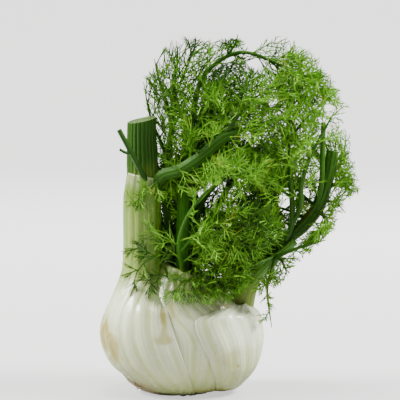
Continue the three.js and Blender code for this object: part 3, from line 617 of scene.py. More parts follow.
def stem_point(z, u, rib_depth):
    middle, half_width, half_depth = along(LEFT_STEM, z)
    turn = lerp(-math.pi, math.pi, u)
    inset = 0.5 * rib_depth * furrow(u, LEFT_RIBS)
    past = max(abs(turn) - STEM_BACK, 0) / (math.pi - STEM_BACK)
    flat = STEM_GUTTER * math.sin(math.pi / 2 * past)
    return oval_point(turn, middle - flat, half_width - inset, half_depth - inset)


def left_sheath_point(u, v, rib_depth, wall):
    scab = 8.6 * math.exp(-(((u - SCAB_PLACE) / 0.17) ** 2)) + 0.5 * math.sin(70 * u) * math.sin(23 * u)
    z = lerp(LEFT_HEIGHTS[0] + scab * (1 - v) ** 4, LEFT_HEIGHTS[1], v)
    front, back = along(LEFT_MARGINS, z)

    def span(middle, half_width):
        return -turn_at(back, middle, half_width), turn_at(front, middle, half_width)

    wrapped = crescent_point(z, u, span, LEFT_RIBS, rib_depth, wall)
    stem = stem_point(z, u, rib_depth)
    share = smoothstep(z, *STEM_STARTS)
    lip = 2.2 * smoothstep(z, 130, 143) * math.cos(lerp(-math.pi, math.pi, u))
    return lerp(wrapped[0], stem[0], share), lerp(wrapped[1], stem[1], share), z + lip


def middle_sheath_point(u, v, rib_depth):
    # The last tenth of the way up turns in over the top and closes in a shallow cup.
    climb = min(v / 0.9, 1)
    cup = max(v - 0.9, 0) / 0.1
    z = lerp(0.6, MIDDLE_HEIGHT, climb)
    middle, half_width, half_depth, tilt = along(MIDDLE_FORM, z)
    turn = 2 * math.pi * u - math.pi / 2 - MIDDLE_TWIST * smoothstep(z, *TWIST_HEIGHTS)
    relief = rib_depth * smoothstep(z, 0, 12) * furrow(u, MIDDLE_RIBS)
    shrink = 1 - cup
    x, y = oval_point(turn, 0, (half_width - relief) * shrink, (half_depth - relief) * shrink)
    fall = 4 * math.sin(cup * math.pi / 2) - 1.2 * math.sin(min(cup * 5, 1) * math.pi)
    if v == 0:
        x, y = 0, 0
    slope = math.radians(tilt)
    return middle + x * math.cos(slope), y, z - x * math.sin(slope) - fall


def right_outer_point(u, v, rib_depth, wall):
    z = lerp(0.5, RIGHT_HEIGHT, v)
    front, back = along(RIGHT_MARGINS, z)

    def span(middle, half_width):
        return turn_at(front, middle, half_width), 2 * math.pi - turn_at(back, middle, half_width)

    x, y = crescent_point(z, u, span, RIGHT_RIBS, rib_depth, wall)
    # The upper margin lies in on the bulb like the side margins.
    core_middle, core_width, core_depth, _ = along(MIDDLE_FORM, z)
    share = 0.6 * smoothstep(z, 50, RIGHT_HEIGHT)
    turn = math.atan2(-y / core_depth, (core_middle - x) / core_width)
    lying = wall * margin_thickness(u, v) + LYING_GAP
    inner = oval_point(turn, core_middle, core_width + lying, core_depth + lying)
    return lerp(x, inner[0], share), lerp(y, inner[1], share), z


def gutter_point(u, v):
    t = v
    path = Path(RIGHT_SHEATH)
    opening = lerp(0.5, 2.3, smoothstep(t, 0.25, 0.9))
    angle = GUTTER_ANGLE + opening / 2 + u * (2 * math.pi - opening)
    rib = 0.25 * furrow(u, 12)
    across, depth = frames_of(path.tangent(t))
    reach = path.radius(t) - rib
    flare = 1 + 0.12 * smoothstep(t, 0.75, 1)
    return path.point(t) + reach * flare * (math.cos(angle) * across + math.sin(angle) * depth)


class FENNEL_OT_root_plate(bpy.types.Operator):
    """Model the trimmed root plate with its crumbs and cut rootlets"""

    bl_idname = "fennel.root_plate"
    bl_label = "Root Plate"

    def execute(self, context):
        settings = context.scene.fennel_bulb
        random = np.random.default_rng(11)
        roughness = settings.root_roughness / MM
        phases = random.uniform(0, 2 * math.pi, 12)

        def crumb(turn, z):
            waves = sum(
                math.sin((5 + 4 * k) * turn + (0.9 + 0.5 * k) * z + phases[k]) / (k + 2) for k in range(8)
            )
            return roughness * waves

        def place(u, v):
            turn = 2 * math.pi * u
            climb = min(max((v - 0.12) / 0.76, 0), 1)
            shrink = min(v / 0.12, 1) if v < 0.12 else min((1 - v) / 0.12, 1)
            z = lerp(0, 11.5, climb)
            middle, half_width, half_depth = along(ROOT_FORM, z)
            rough = crumb(turn, z) if 0 < climb else 0
            shrink *= lerp(0.8, 1, smoothstep(math.cos(turn), 0, 0.7))
            x, y = oval_point(turn, middle, (half_width + rough) * shrink, (half_depth + rough) * shrink)
            return x, y, z

        piece = sheet("root_plate_rough", 120, 25, place)
        merge(piece)
        stubs = []
        for _ in range(26):
            turn = random.uniform(-1.2, 1.2)
            z = random.uniform(2.2, 10.5)
            middle, half_width, half_depth = along(ROOT_FORM, z)
            x, y = oval_point(turn, middle, half_width, half_depth)
            away = np.array([-math.cos(turn), -0.8 * math.sin(turn), -0.45])
            stubs.append((np.array([x, y, z]), away / np.linalg.norm(away), random.uniform(1.0, 2.0)))
        twigs = Twigs.from_rays(
            np.array([s[0] - s[1] for s in stubs]), np.array([s[1] for s in stubs]),
            np.array([s[2] + 1 for s in stubs]), thick=0.55, thin=0.3, lift=-0.3, tone=0.4,
        )
        rootlets = strands("rootlets", twigs, strand_template(5, 2))
        join(piece, rootlets)
        finish_piece(piece, ["root_plate"], [root_material()], 50)
        return {"FINISHED"}


class FENNEL_OT_sheaths(bpy.types.Operator):
    """Model the ribbed sheaths that make the bulb and the leaf base on the right"""

    bl_idname = "fennel.sheaths"
    bl_label = "Sheaths"

    def execute(self, context):
        settings = context.scene.fennel_bulb
        rib_depth, wall = settings.rib_depth / MM, settings.wall / MM
        left = sheet(
            "sheath_left_ribbed", 8 * LEFT_RIBS, 110,
            lambda u, v: left_sheath_point(u, v, rib_depth, wall), lambda u, v: margin_thickness(u),
        )
        thicken(left, settings.wall, (-20, 0, 50))
        finish_piece(left, ["sheath_left"], [sheath_material("left", LEFT_RIBS)])

        middle = sheet(
            "sheath_middle_ribbed", 6 * MIDDLE_RIBS, 100, lambda u, v: middle_sheath_point(u, v, rib_depth),
        )
        merge(middle)
        finish_piece(middle, ["sheath_middle"], [sheath_material("middle", MIDDLE_RIBS)])

        right = sheet(
            "sheath_right_outer_ribbed", 8 * RIGHT_RIBS, 70,
            lambda u, v: right_outer_point(u, v, rib_depth, wall), margin_thickness,
        )
        thicken(right, settings.wall, (10, 0, 30))
        finish_piece(right, ["sheath_right_outer"], [sheath_material("right", RIGHT_RIBS)])

        gutter = sheet("sheath_right_gutter", 72, 60, gutter_point)
        thicken(gutter, settings.wall, (45, 0, 75))
        finish_piece(gutter, ["sheath_right"], [gutter_material()])
        return {"FINISHED"}


class FENNEL_OT_cut_stalk(bpy.types.Operator):
    """Model the ribbed cut stalk at the left with its cut twig"""

    bl_idname = "fennel.cut_stalk"
    bl_label = "Cut Stalk"

    def execute(self, context):
        path = Path(CUT_STALK)
        ribs = 23
        caps = (0.9, 0.55, 0.0)
        rows = 28

        def place(u, v):
            row = round(v * rows)
            body = rows - len(caps)
            t = min(max((row - 1) / (body - 1), 0), 1)
            shrink = 0.0 if row == 0 else 1.0
            sink = 0.0
            if row > body:
                shrink = caps[row - body - 1]
                sink = 0.5 * (1 - shrink)
            turn = 2 * math.pi * u
            point = path.point(t)
            groove = furrow(u, ribs)
            reach = path.radius(t) * shrink * (1 - (0.065 if row <= body else 0.03) * groove)
            x, y = oval_point(turn, 0, reach, reach * CUT_STALK_DEPTH)
            slope, lean = math.radians(CUT_SLOPE * t * t), math.radians(CUT_LEAN * t * t)
            rise = x * math.sin(slope) + y * math.sin(lean) - sink
            return point[0] + x * math.cos(slope), y, point[2] + rise

        piece = sheet("stalk_left_ribbed", 6 * ribs, rows, place)
        merge(piece)
        materials = [stalk_material("cut", ribs), cut_face_material(), stalk_material("twig", 5)]
        for material in materials:
            piece.data.materials.append(material)
        for polygon in piece.data.polygons:
            polygon.material_index = 1 if polygon.normal.z > 0.8 and polygon.center.z > 0.165 else 0
        twig = tube_sheet("twig", TWIG, 12, 18, lambda angle, t: 1 - 0.06 * math.cos(5 * angle))
        stub = tube_sheet("stub", TWIG_STUB, 10, 10)
        for part in (twig, stub):
            for material in materials:
                part.data.materials.append(material)
            for polygon in part.data.polygons:
                polygon.material_index = 2
            join(piece, part)
        finish_piece(piece, ["stalk_left"], [], 40)
        return {"FINISHED"}


# Fronds


class Twigs:
    """Curved twigs as arrays: a start, a knee and a tip each, a radius at both ends and a tone."""

    def __init__(self, start, knee, tip, thick, thin, tone):
        count = len(start)
        self.start, self.knee, self.tip = start, knee, tip
        self.thick = np.broadcast_to(np.asarray(thick, float), (count,))
        self.thin = np.broadcast_to(np.asarray(thin, float), (count,))
        self.tone = np.broadcast_to(np.asarray(tone, float), (count,))

    @classmethod
    def from_rays(cls, start, away, length, thick, thin, lift, tone):
        length = np.asarray(length, float)[:, None]
        knee = start + away * length / 2
        rise = np.broadcast_to(np.asarray(lift, float), (len(start),))[:, None]
        onward = away + np.array([0.0, 0.0, 1.0]) * rise
        onward /= np.linalg.norm(onward, axis=1, keepdims=True)
        return cls(start, knee, knee + onward * length / 2, thick, thin, tone)

    def keep(self, mask):
        return Twigs(*(values[mask] for values in self.arrays()))

    def arrays(self):
        return self.start, self.knee, self.tip, self.thick, self.thin, self.tone

    @staticmethod
    def gather(groups):
        return Twigs(*(np.concatenate(columns) for columns in zip(*(group.arrays() for group in groups))))

    def point(self, share):
        share = np.asarray(share, float)[..., None]
        return (1 - share) ** 2 * self.start + 2 * (1 - share) * share * self.knee + share ** 2 * self.tip

    def tangent(self, share):
        share = np.asarray(share, float)[..., None]
        slope = (1 - share) * (self.knee - self.start) + share * (self.tip - self.knee)
        return slope / np.linalg.norm(slope, axis=-1, keepdims=True)

    def length(self):
        return np.linalg.norm(self.tip - self.start, axis=1)


def leaving(tangents, angle, roll):
    """Directions that leave tangents at an angle, turned round them by a roll."""
    across, depth = frames_of(tangents)
    angle, roll = np.asarray(angle, float)[..., None], np.asarray(roll, float)[..., None]
    return np.cos(angle) * tangents + np.sin(angle) * (np.cos(roll) * across + np.sin(roll) * depth)


# Up to which height foliage stays out of a sheath's form, and between which heights out of the stem
CLEAR_OF_FORMS = ((MIDDLE_FORM, 83), (OUTER_FORM, 62))
CLEAR_OF_STEM = (50, 178)


def in_air(points, inset=0.0):
    """Which points lie in the outline of the foliage, outside the sheaths and the airy gaps.

    The outline is drawn in by the inset, and more in its bays.
    """
    x, y, z = points[:, 0], points[:, 1], points[:, 2]
    bay = 1.6 * (1 + np.sin(0.5 * z + 2 * np.sin(0.17 * z + 0.1 * x))) * (z > 100)
    inset = inset + bay * (inset > 0)
    table = np.array(FOLIAGE_OUTLINE)
    height = z + inset * (z > 200) / 2
    left, right, depth = (np.interp(height, table[:, 0], table[:, column]) for column in (1, 2, 3))
    depth = depth * (0.9 + 0.1 * np.sin(0.11 * z + 0.09 * x + 1))
    top = table[-1, 0] - inset / 2
    free = (z > table[0, 0]) & (z < top) & (np.abs(y) < depth - inset)
    free &= (x > left + inset) & (x < right - inset)
    for form, top in CLEAR_OF_FORMS:
        rows = np.array([row[:3] for row in form])
        middle, half_width = (np.interp(z, rows[:, 0], rows[:, column]) for column in (1, 2))
        half_depth = half_width * DEPTH_OVER_WIDTH
        inside = ((x - middle) / (half_width + 0.6)) ** 2 + (y / (half_depth + 0.6)) ** 2 < 1
        free &= ~(inside & (z < top))
    rows = np.array(LEFT_STEM)
    middle, half_width, half_depth = (np.interp(z, rows[:, 0], rows[:, column]) for column in (1, 2, 3))
    inside = ((x - middle) / (half_width + 0.4)) ** 2 + (y / (half_depth + 0.4)) ** 2 < 1
    free &= ~(inside & (z > CLEAR_OF_STEM[0]) & (z < CLEAR_OF_STEM[1]))
    for gap_x, gap_z, half_width, half_height in FOLIAGE_GAPS:
        free &= ((x - gap_x) / half_width) ** 2 + ((z - gap_z) / half_height) ** 2 > 1
    return free


def before_stems(points, random):
    """Which points lie right before a stem that stays in view, but for a few."""
    hidden = np.zeros(len(points), bool)
    chance = random.uniform(0, 1, len(points))
    for name, stem, first, last, width, share in STEMS_IN_VIEW:
        path = Path(FRONDS[name]["stems"][stem][0] if name in FRONDS else RIGHT_SHEATH)
        line = np.array([path.point(t) for t in np.linspace(first, last, 28)])
        off = (points[:, None, 0] - line[None, :, 0]) ** 2 + (points[:, None, 2] - line[None, :, 2]) ** 2
        nearest = off.argmin(axis=1)
        close = off[np.arange(len(points)), nearest] < width ** 2
        hidden |= close & (points[:, 1] < line[nearest, 1]) & (chance < share)
    return hidden


def nearness(twigs):
    """How near each twig is to the outside of the foliage, from 0 deep inside to 1; it sets the threads'
    painted shade.
    """
    middle = twigs.point(np.full(len(twigs.start), 0.6))
    table = np.array(FOLIAGE_OUTLINE)
    left, right, depth = (np.interp(middle[:, 2], table[:, 0], table[:, column]) for column in (1, 2, 3))
    across = (2 * middle[:, 0] - left - right) / (right - left)
    return np.clip(np.hypot(across, middle[:, 1] / (0.75 * depth)), 0, 1)


def before_pale_stem(twigs):
    """How far each twig hangs before the pale stem, where the threads are thin and darkened with painted
    shade.
    """
    middle = twigs.point(np.full(len(twigs.start), 0.6))
    return np.clip((-8 - middle[:, 0]) / 6, 0, 1) * (middle[:, 1] < 0) * (middle[:, 2] < 152)


def clear_of_stems(twigs, random):
    """The twigs that don't hide a stem that stays in view."""
    return twigs.keep(~before_stems(twigs.point(np.full(len(twigs.start), 0.6)), random))


def fitted(twigs, random, ragged=8.0, factors=(1.0, 0.75, 0.5)):
    """The twigs that stay in the air, shortened where that helps.

    Each ends its own bit inside the outline.
    """
    done = []
    left = twigs
    inset = ragged * random.uniform(0, 1, len(twigs.start)) ** 1.5
    for factor in factors:
        tip = left.start + (left.tip - left.start) * factor
        knee = left.start + (left.knee - left.start) * factor
        trial = Twigs(left.start, knee, tip, left.thick, left.thin, left.tone)
        free = in_air(tip, inset) & in_air(trial.point(np.full(len(tip), 0.55)))
        done.append(trial.keep(free))
        left, inset = left.keep(~free), inset[~free]
        if not len(left.start):
            break
    return Twigs.gather(done)


def side_twigs(parents, per_parent, first, last, angles, length, thick, thin, lift, random, fork=False):
    """Twigs that leave each parent at even steps, turned on by the golden angle from one to the next."""
    count = len(parents.start)
    per_parent = max(per_parent, 1)
    step = np.arange(per_parent)
    share = first + (last - first) * (step + 0.5) / per_parent
    share = share[None, :] + random.uniform(-0.4, 0.4, (count, per_parent)) * (last - first) / per_parent
    roll = step[None, :] * GOLDEN_ANGLE + random.uniform(0, 2 * math.pi, (count, 1))
    if fork:
        roll = step[None, :] * math.pi + random.uniform(0, 2 * math.pi, (count, 1))
    roll = roll + random.uniform(-0.35, 0.35, (count, per_parent))
    index = np.repeat(np.arange(count), per_parent)
    share, roll = share.ravel(), roll.ravel()
    spread = Twigs(*(values[index] for values in parents.arrays()))
    angle = lerp(angles[0], angles[1], share) + random.uniform(-0.12, 0.12, len(index))
    reach = length(share, spread.length()) * random.uniform(0.75, 1.2, len(index))
    own = np.repeat(random.uniform(-0.18, 0.18, count), per_parent)
    tone = np.clip(spread.tone + own + random.uniform(-0.25, 0.25, len(index)), 0, 1)
    away = leaving(spread.tangent(share), angle, roll)
    bend = lift + random.uniform(-0.15, 0.15, len(index))
    return Twigs.from_rays(spread.point(share), away, reach, thick, thin, bend, tone)


def stem_twigs(frond, random):
    """The side stems of a frond's stems."""
    starts, aways, lengths = [], [], []
    for number, (table, count, reach) in enumerate(frond["stems"]):
        path = Path(table)
        first = frond["first"] if number == 0 else 0.12
        for i in range(count):
            t = first + (0.99 - first) * (i + 0.5) / count
            starts.append(path.point(t))
            aways.append(leaving(path.tangent(t), lerp(1.15, 0.6, t), i * GOLDEN_ANGLE + number))
            lengths.append(reach * min(0.3 + 4 * t, 1 - 0.4 * t) * random.uniform(0.8, 1.1))
    tone = np.full(len(starts), frond["tone"])
    return Twigs.from_rays(
        np.array(starts), np.array(aways), np.array(lengths), 0.5, 0.24, frond["lift"], tone,
    )


def strand_template(sides, rings):
    """One strand, modelled once: a pointed cone cut across so that it can curve."""
    bpy.ops.object.select_all(action="DESELECT")
    bpy.ops.mesh.primitive_cone_add(vertices=sides, radius1=1, radius2=0, depth=1, location=(0, 0, 0.5))
    cone = bpy.context.object
    bpy.ops.object.mode_set(mode="EDIT")
    for ring in range(1, rings):
        bpy.ops.mesh.select_all(action="SELECT")
        bpy.ops.mesh.bisect(plane_co=(0, 0, ring / rings), plane_no=(0, 0, 1))
    bpy.ops.mesh.select_all(action="SELECT")
    bpy.ops.mesh.quads_convert_to_tris()
    bpy.ops.object.mode_set(mode="OBJECT")
    corners = np.array([tuple(vertex.co) for vertex in cone.data.vertices])
    faces = np.array([tuple(polygon.vertices) for polygon in cone.data.polygons])
    bpy.data.meshes.remove(cone.data)
    height = corners[:, 2] + 0.5
    width = np.linalg.norm(corners[:, :2], axis=1, keepdims=True)
    turn = np.where(width > 1e-6, corners[:, :2] / np.maximum(width, 1e-6), 0)
    return height, turn, faces


def strands(name, twigs, template):
    """Copies of a strand, one along each twig, in one mesh with a tone at each point."""
    height, turn, faces = template
    count, size = len(twigs.start), len(height)
    share = height[None, :, None]
    start, knee, tip = (values[:, None, :] for values in (twigs.start, twigs.knee, twigs.tip))
    centre = (1 - share) ** 2 * start + 2 * (1 - share) * share * knee + share ** 2 * tip
    chord = twigs.tip - twigs.start
    chord /= np.linalg.norm(chord, axis=1, keepdims=True)
    across, depth = frames_of(chord)
    radius = lerp(twigs.thick[:, None], twigs.thin[:, None], height[None, :])[..., None]
    round_ = turn[None, :, 0:1] * across[:, None, :] + turn[None, :, 1:2] * depth[:, None, :]
    corners = (centre + radius * round_) * MM
    index = (faces[None] + np.arange(count)[:, None, None] * size).reshape(-1, 3)
    mesh = bpy.data.meshes.new(name)
    mesh.vertices.add(count * size)
    mesh.vertices.foreach_set("co", corners.reshape(-1).astype(np.float32))
    mesh.loops.add(index.size)
    mesh.loops.foreach_set("vertex_index", index.reshape(-1).astype(np.int32))
    mesh.polygons.add(len(index))
    mesh.polygons.foreach_set("loop_start", np.arange(0, index.size, 3, dtype=np.int32))
    mesh.update(calc_edges=True)
    tone = mesh.attributes.new("tone", "FLOAT", "POINT")
    tone.data.foreach_set("value", np.repeat(twigs.tone, size).astype(np.float32))
    piece = bpy.data.objects.new(name, mesh)
    bpy.context.scene.collection.objects.link(piece)
    return piece


def join(piece, other):
    select_only(piece)
    other.select_set(True)
    bpy.ops.object.join()


def tapered(table):
    """The table of a stem that ends in a thread, unless the stem is a thick, cut one."""
    if table[-1][3] > 1.3:
        return table
    return [*table[:-1], (*table[-1][:3], 0.22)]


def grow_frond(name, frond, seed, settings, templates):
    """A frond's stems, with small stems on its side stems and threads on those."""
    random = np.random.default_rng(seed)
    fine = settings.thread_radius / MM
    full = frond["fullness"]
    length = frond["thread"]
    spread = frond.get("spread", 1.0)
    sparse = spread < 1
    dense = name.startswith("frond_back")
    ragged = 5 if sparse else 9
    pinnae = clear_of_stems(fitted(stem_twigs(frond, random), random, 6), random)
    pinnules = clear_of_stems(fitted(side_twigs(
        pinnae, round(settings.pinnules * full), 0.1, 0.97, (0.95 * spread, 0.5 * spread),
        lambda share, parent: length * (1.25 - 0.55 * share) * np.clip(parent / 18, 0.5, 1),
        fine * 1.05, fine * 0.75, frond["lift"] * 0.4, random,
    ), random, ragged), random)
    threads = clear_of_stems(fitted(side_twigs(
        pinnules, round((settings.threads + dense) * (0.5 + 0.5 * spread)), 0.12, 0.92,
        (0.75 * spread, 0.42 * spread),
        lambda share, parent: parent * (1.05 if sparse else 0.84) * (1.15 - 0.45 * share),
        fine * 0.95, fine * 0.5, 0.0, random, fork=True,
    ), random, ragged - 1), random)
    forks = fitted(side_twigs(
        threads, settings.forks + dense, 0.25, 0.8, (0.6 * spread, 0.4 * spread),
        lambda share, parent: parent * 0.6 * (1.1 - 0.5 * share),
        fine * 0.8, fine * 0.3, 0.0, random, fork=True,
    ), random, 4, (1.0, 0.6))
    # Painted shade and light: threads deep in the foliage and before the pale stem darker, those near its
    # outside lighter
    for twigs in (pinnules, threads, forks):
        painted_shading = 0.55 * (nearness(twigs) - 0.55) - 0.22 * before_pale_stem(twigs)
        twigs.tone = np.clip(twigs.tone + painted_shading, 0, 1)
    piece = strands(name + "_feathered", threads, templates["thread"])
    join(piece, strands(name, forks, templates["fork"]))
    for part, template in ((pinnules, templates["thread"]), (pinnae, templates["stem"])):
        join(piece, strands(name, part, template))
    feather = frond_material(settings)
    stalk = stalk_material("frond", 9)
    piece.data.materials.append(feather)
    piece.data.materials.append(stalk)
    for table, _, _ in frond["stems"]:
        thick = table[0][3] > 2.5
        sides, rows = (24, 60) if thick else (8, 30)
        ribs = 9 if thick else 5
        depth = 0.06 if thick else 0.03
        stem = tube_sheet(
            name, tapered(table), sides, rows,
            lambda angle, t: 1 - depth * furrow(angle / (2 * math.pi), ribs),
        )
        stem.data.materials.append(feather)
        stem.data.materials.append(stalk)
        for polygon in stem.data.polygons:
            polygon.material_index = 1
        join(piece, stem)
    return piece


class FENNEL_OT_fronds(bpy.types.Operator):
    """Grow the feathery fronds and their stalks"""

    bl_idname = "fennel.fronds"
    bl_label = "Fronds"

    def execute(self, context):
        settings = context.scene.fennel_fronds
        templates = {
            "fork": strand_template(3, 1),
            "thread": strand_template(3, 2),
            "stem": strand_template(5, 4),
        }
        for seed, (name, frond) in enumerate(FRONDS.items(), 1):
            piece = grow_frond(name, frond, seed, settings, templates)
            finish_piece(piece, [name], [], 50)
        return {"FINISHED"}


# Materials


class Nodes:
    """Adds and links nodes in one tree."""

    def __init__(self, tree):
        self.tree = tree

    def add(self, kind, inputs=(), **settings):
        node = self.tree.nodes.new(kind)
        for key, value in settings.items():
            setattr(node, key, value)
        for socket, value in dict(inputs).items():
            if isinstance(value, bpy.types.NodeSocket):
                self.tree.links.new(value, node.inputs[socket])
            else:
                node.inputs[socket].default_value = value
        return node

    def math(self, operation, *values, clamp=False):
        node = self.add("ShaderNodeMath", dict(enumerate(values)), operation=operation, use_clamp=clamp)
        return node.outputs[0]

    def ramp(self, value, low, high, to_low=0.0, to_high=1.0):
        """A smooth step of a value from low to high."""
        inputs = {0: value, 1: low, 2: high, 3: to_low, 4: to_high}
        return self.add("ShaderNodeMapRange", inputs, interpolation_type="SMOOTHSTEP").outputs[0]

    def noise(self, place, scale, detail=3.0, stretch=None, **more):
        """Noise at a scale, drawn out along Z where a stretch is given."""
        if stretch:
            place = self.add("ShaderNodeMapping", {0: place, 3: (1.0, 1.0, stretch)}).outputs[0]
        inputs = {"Vector": place, "Scale": scale, "Detail": detail, **more}
        return self.add("ShaderNodeTexNoise", inputs).outputs["Fac"]

    def mix(self, factor, a, b):
        node = self.add("ShaderNodeMix", {0: factor, 6: a, 7: b}, data_type="RGBA")
        return node.outputs[2]

    def group(self, tree, **inputs):
        named = {key.replace("_", " "): value for key, value in inputs.items()}
        node = self.add("ShaderNodeGroup", {}, node_tree=tree)
        for socket, value in named.items():
            if isinstance(value, bpy.types.NodeSocket):
                self.tree.links.new(value, node.inputs[socket])
            else:
                node.inputs[socket].default_value = value
        return node.outputs


def new_group(name, inputs, outputs):
    """An empty node group with named inputs (name, kind, default) and outputs (name, kind)."""
    tree = bpy.data.node_groups.new(name, "ShaderNodeTree")
    for socket, kind, default in inputs:
        item = tree.interface.new_socket(name=socket, in_out="INPUT", socket_type=kind)
        item.default_value = default
    for socket, kind in outputs:
        tree.interface.new_socket(name=socket, in_out="OUTPUT", socket_type=kind)
    return tree, Nodes(tree), tree.nodes.new("NodeGroupInput"), tree.nodes.new("NodeGroupOutput")


def vein_group():
    """Lines along V at even steps of U, a little wandering, and the finer lines between them."""
    name = "Vein Lines"
    if name in bpy.data.node_groups:
        return bpy.data.node_groups[name]
    tree, nodes, given, out = new_group(
        name,
        [
            ("Lines", "NodeSocketFloat", 12.0), ("Width", "NodeSocketFloat", 0.1),
            ("Wander", "NodeSocketFloat", 0.1),
        ],
        [("Vein", "NodeSocketFloat"), ("Fine", "NodeSocketFloat")],
    )
    uv = nodes.add("ShaderNodeSeparateXYZ", {0: nodes.add("ShaderNodeUVMap").outputs[0]}).outputs
    place = nodes.add("ShaderNodeTexCoord").outputs["Object"]
    noise = nodes.noise(place, 45.0, 2.0)
    drift = nodes.math("MULTIPLY", nodes.math("SUBTRACT", noise, 0.5), given.outputs["Wander"])
    across = nodes.math("ADD", nodes.math("MULTIPLY", uv[0], given.outputs["Lines"]), drift)
    from_line = nodes.math("ABSOLUTE", nodes.math("SUBTRACT", nodes.math("FRACT", across), 0.5))
    vein = nodes.ramp(from_line, 0.0, given.outputs["Width"], 1.0, 0.0)
    many = nodes.math("MULTIPLY", across, 4.0)
    from_fine = nodes.math("ABSOLUTE", nodes.math("SUBTRACT", nodes.math("FRACT", many), 0.5))
    fine = nodes.ramp(from_fine, 0.0, 0.3, 1.0, 0.0)
    tree.links.new(vein, out.inputs["Vein"])
    tree.links.new(fine, out.inputs["Fine"])
    return tree


def patch_group():
    """Soft blotches, and a mask round a centre with a broken edge."""
    name = "Patches"
    if name in bpy.data.node_groups:
        return bpy.data.node_groups[name]
    tree, nodes, given, out = new_group(
        name,
        [("Centre", "NodeSocketVector", (0, 0, 0)), ("Reach", "NodeSocketVector", (0.01, 0.01, 0.01)),
         ("Grain", "NodeSocketFloat", 120.0)],
        [("Mask", "NodeSocketFloat"), ("Blotch", "NodeSocketFloat")],
    )
    place = nodes.add("ShaderNodeTexCoord").outputs["Object"]
    away = nodes.add("ShaderNodeVectorMath", {0: place, 1: given.outputs["Centre"]}, operation="SUBTRACT")
    scaled = nodes.add(
        "ShaderNodeVectorMath", {0: away.outputs[0], 1: given.outputs["Reach"]}, operation="DIVIDE",
    ).outputs[0]
    distance = nodes.add("ShaderNodeVectorMath", {0: scaled}, operation="LENGTH").outputs["Value"]
    noise = nodes.noise(place, 1.0, 4.0)
    tree.links.new(given.outputs["Grain"], noise.node.inputs["Scale"])
    broken = nodes.math("ADD", distance, nodes.math("MULTIPLY", nodes.math("SUBTRACT", noise, 0.5), 1.4))
    tree.links.new(nodes.ramp(broken, 0.35, 1.15, 1.0, 0.0), out.inputs["Mask"])
    tree.links.new(nodes.ramp(noise, 0.42, 0.72), out.inputs["Blotch"])
    return tree


def new_material(name):
    material = bpy.data.materials.new(name)
    material.use_nodes = True
    shader = material.node_tree.nodes["Principled BSDF"]
    return material, Nodes(material.node_tree), shader


# Painted highlights of the sheaths, white patches where the lamps light the shoulders:
# centre and reach in metres, and how strong
PAINTED_HIGHLIGHTS = {
    "left": [((-0.042, -0.016, 0.060), (0.014, 0.026, 0.017), 0.7)],
    "right": [((0.040, -0.022, 0.045), (0.020, 0.026, 0.016), 0.8)],
}

# Tan stains of each sheath
STAINS = {
    "left": [
        ((-0.0505, -0.012, 0.039), (0.0065, 0.020, 0.013), 1.0),
        ((-0.0445, -0.022, 0.031), (0.006, 0.014, 0.013), 0.9),
        ((-0.0115, -0.034, 0.058), (0.0028, 0.012, 0.013), 0.85),
        ((-0.012, -0.036, 0.041), (0.0075, 0.012, 0.004), 0.6),
        ((-0.030, -0.020, 0.007), (0.018, 0.022, 0.005), 0.7),
    ],
    "middle": [
        ((-0.0065, -0.033, 0.058), (0.0035, 0.012, 0.013), 0.6),
        ((0.012, -0.02, 0.002), (0.024, 0.024, 0.004), 0.6),
        ((0.030, -0.022, 0.060), (0.012, 0.012, 0.003), 0.5),
    ],
    "right": [
        ((0.032, -0.028, 0.0595), (0.012, 0.012, 0.0016), 0.4),
        ((0.0365, -0.026, 0.022), (0.0016, 0.003, 0.0016), 0.8),
        ((0.030, -0.028, 0.028), (0.008, 0.008, 0.008), 0.35),
        ((0.018, -0.02, 0.002), (0.03, 0.03, 0.004), 0.6),
    ],
}

# Colours of a sheath that no setting changes
# The white of the painted highlights on the lit shoulders
HIGHLIGHT_WHITE = (0.80, 0.86, 0.60, 1)
# Painted shade on the pale stem's inner side
STEM_INNER_SHADE = (0.14, 0.28, 0.02, 1)
STEM_FAR_SIDE = (0.15, 0.24, 0.04, 1)
STEM_LIP = (0.34, 0.4, 0.18, 1)
# Painted shade: the greyer green of the middle sheath's top under the fronds
MIDDLE_TOP_SHADE = (0.2, 0.28, 0.06, 1)

# Heights in metres between which a sheath's colour changes
LOW_TINT_AND_SHADE_FADE = (0.0, 0.038)
WHITE_TURNS_GREEN = (0.054, 0.086)
GREEN_TURNS_DEEP = (0.112, 0.136)
LIP_TURNS_PALE = (0.132, 0.1415)
# Heights of the painted shade on the middle sheath's top
MIDDLE_SHADE_HEIGHTS = (0.052, 0.076)
VEINS_TURN_GREEN = (0.075, 0.1)


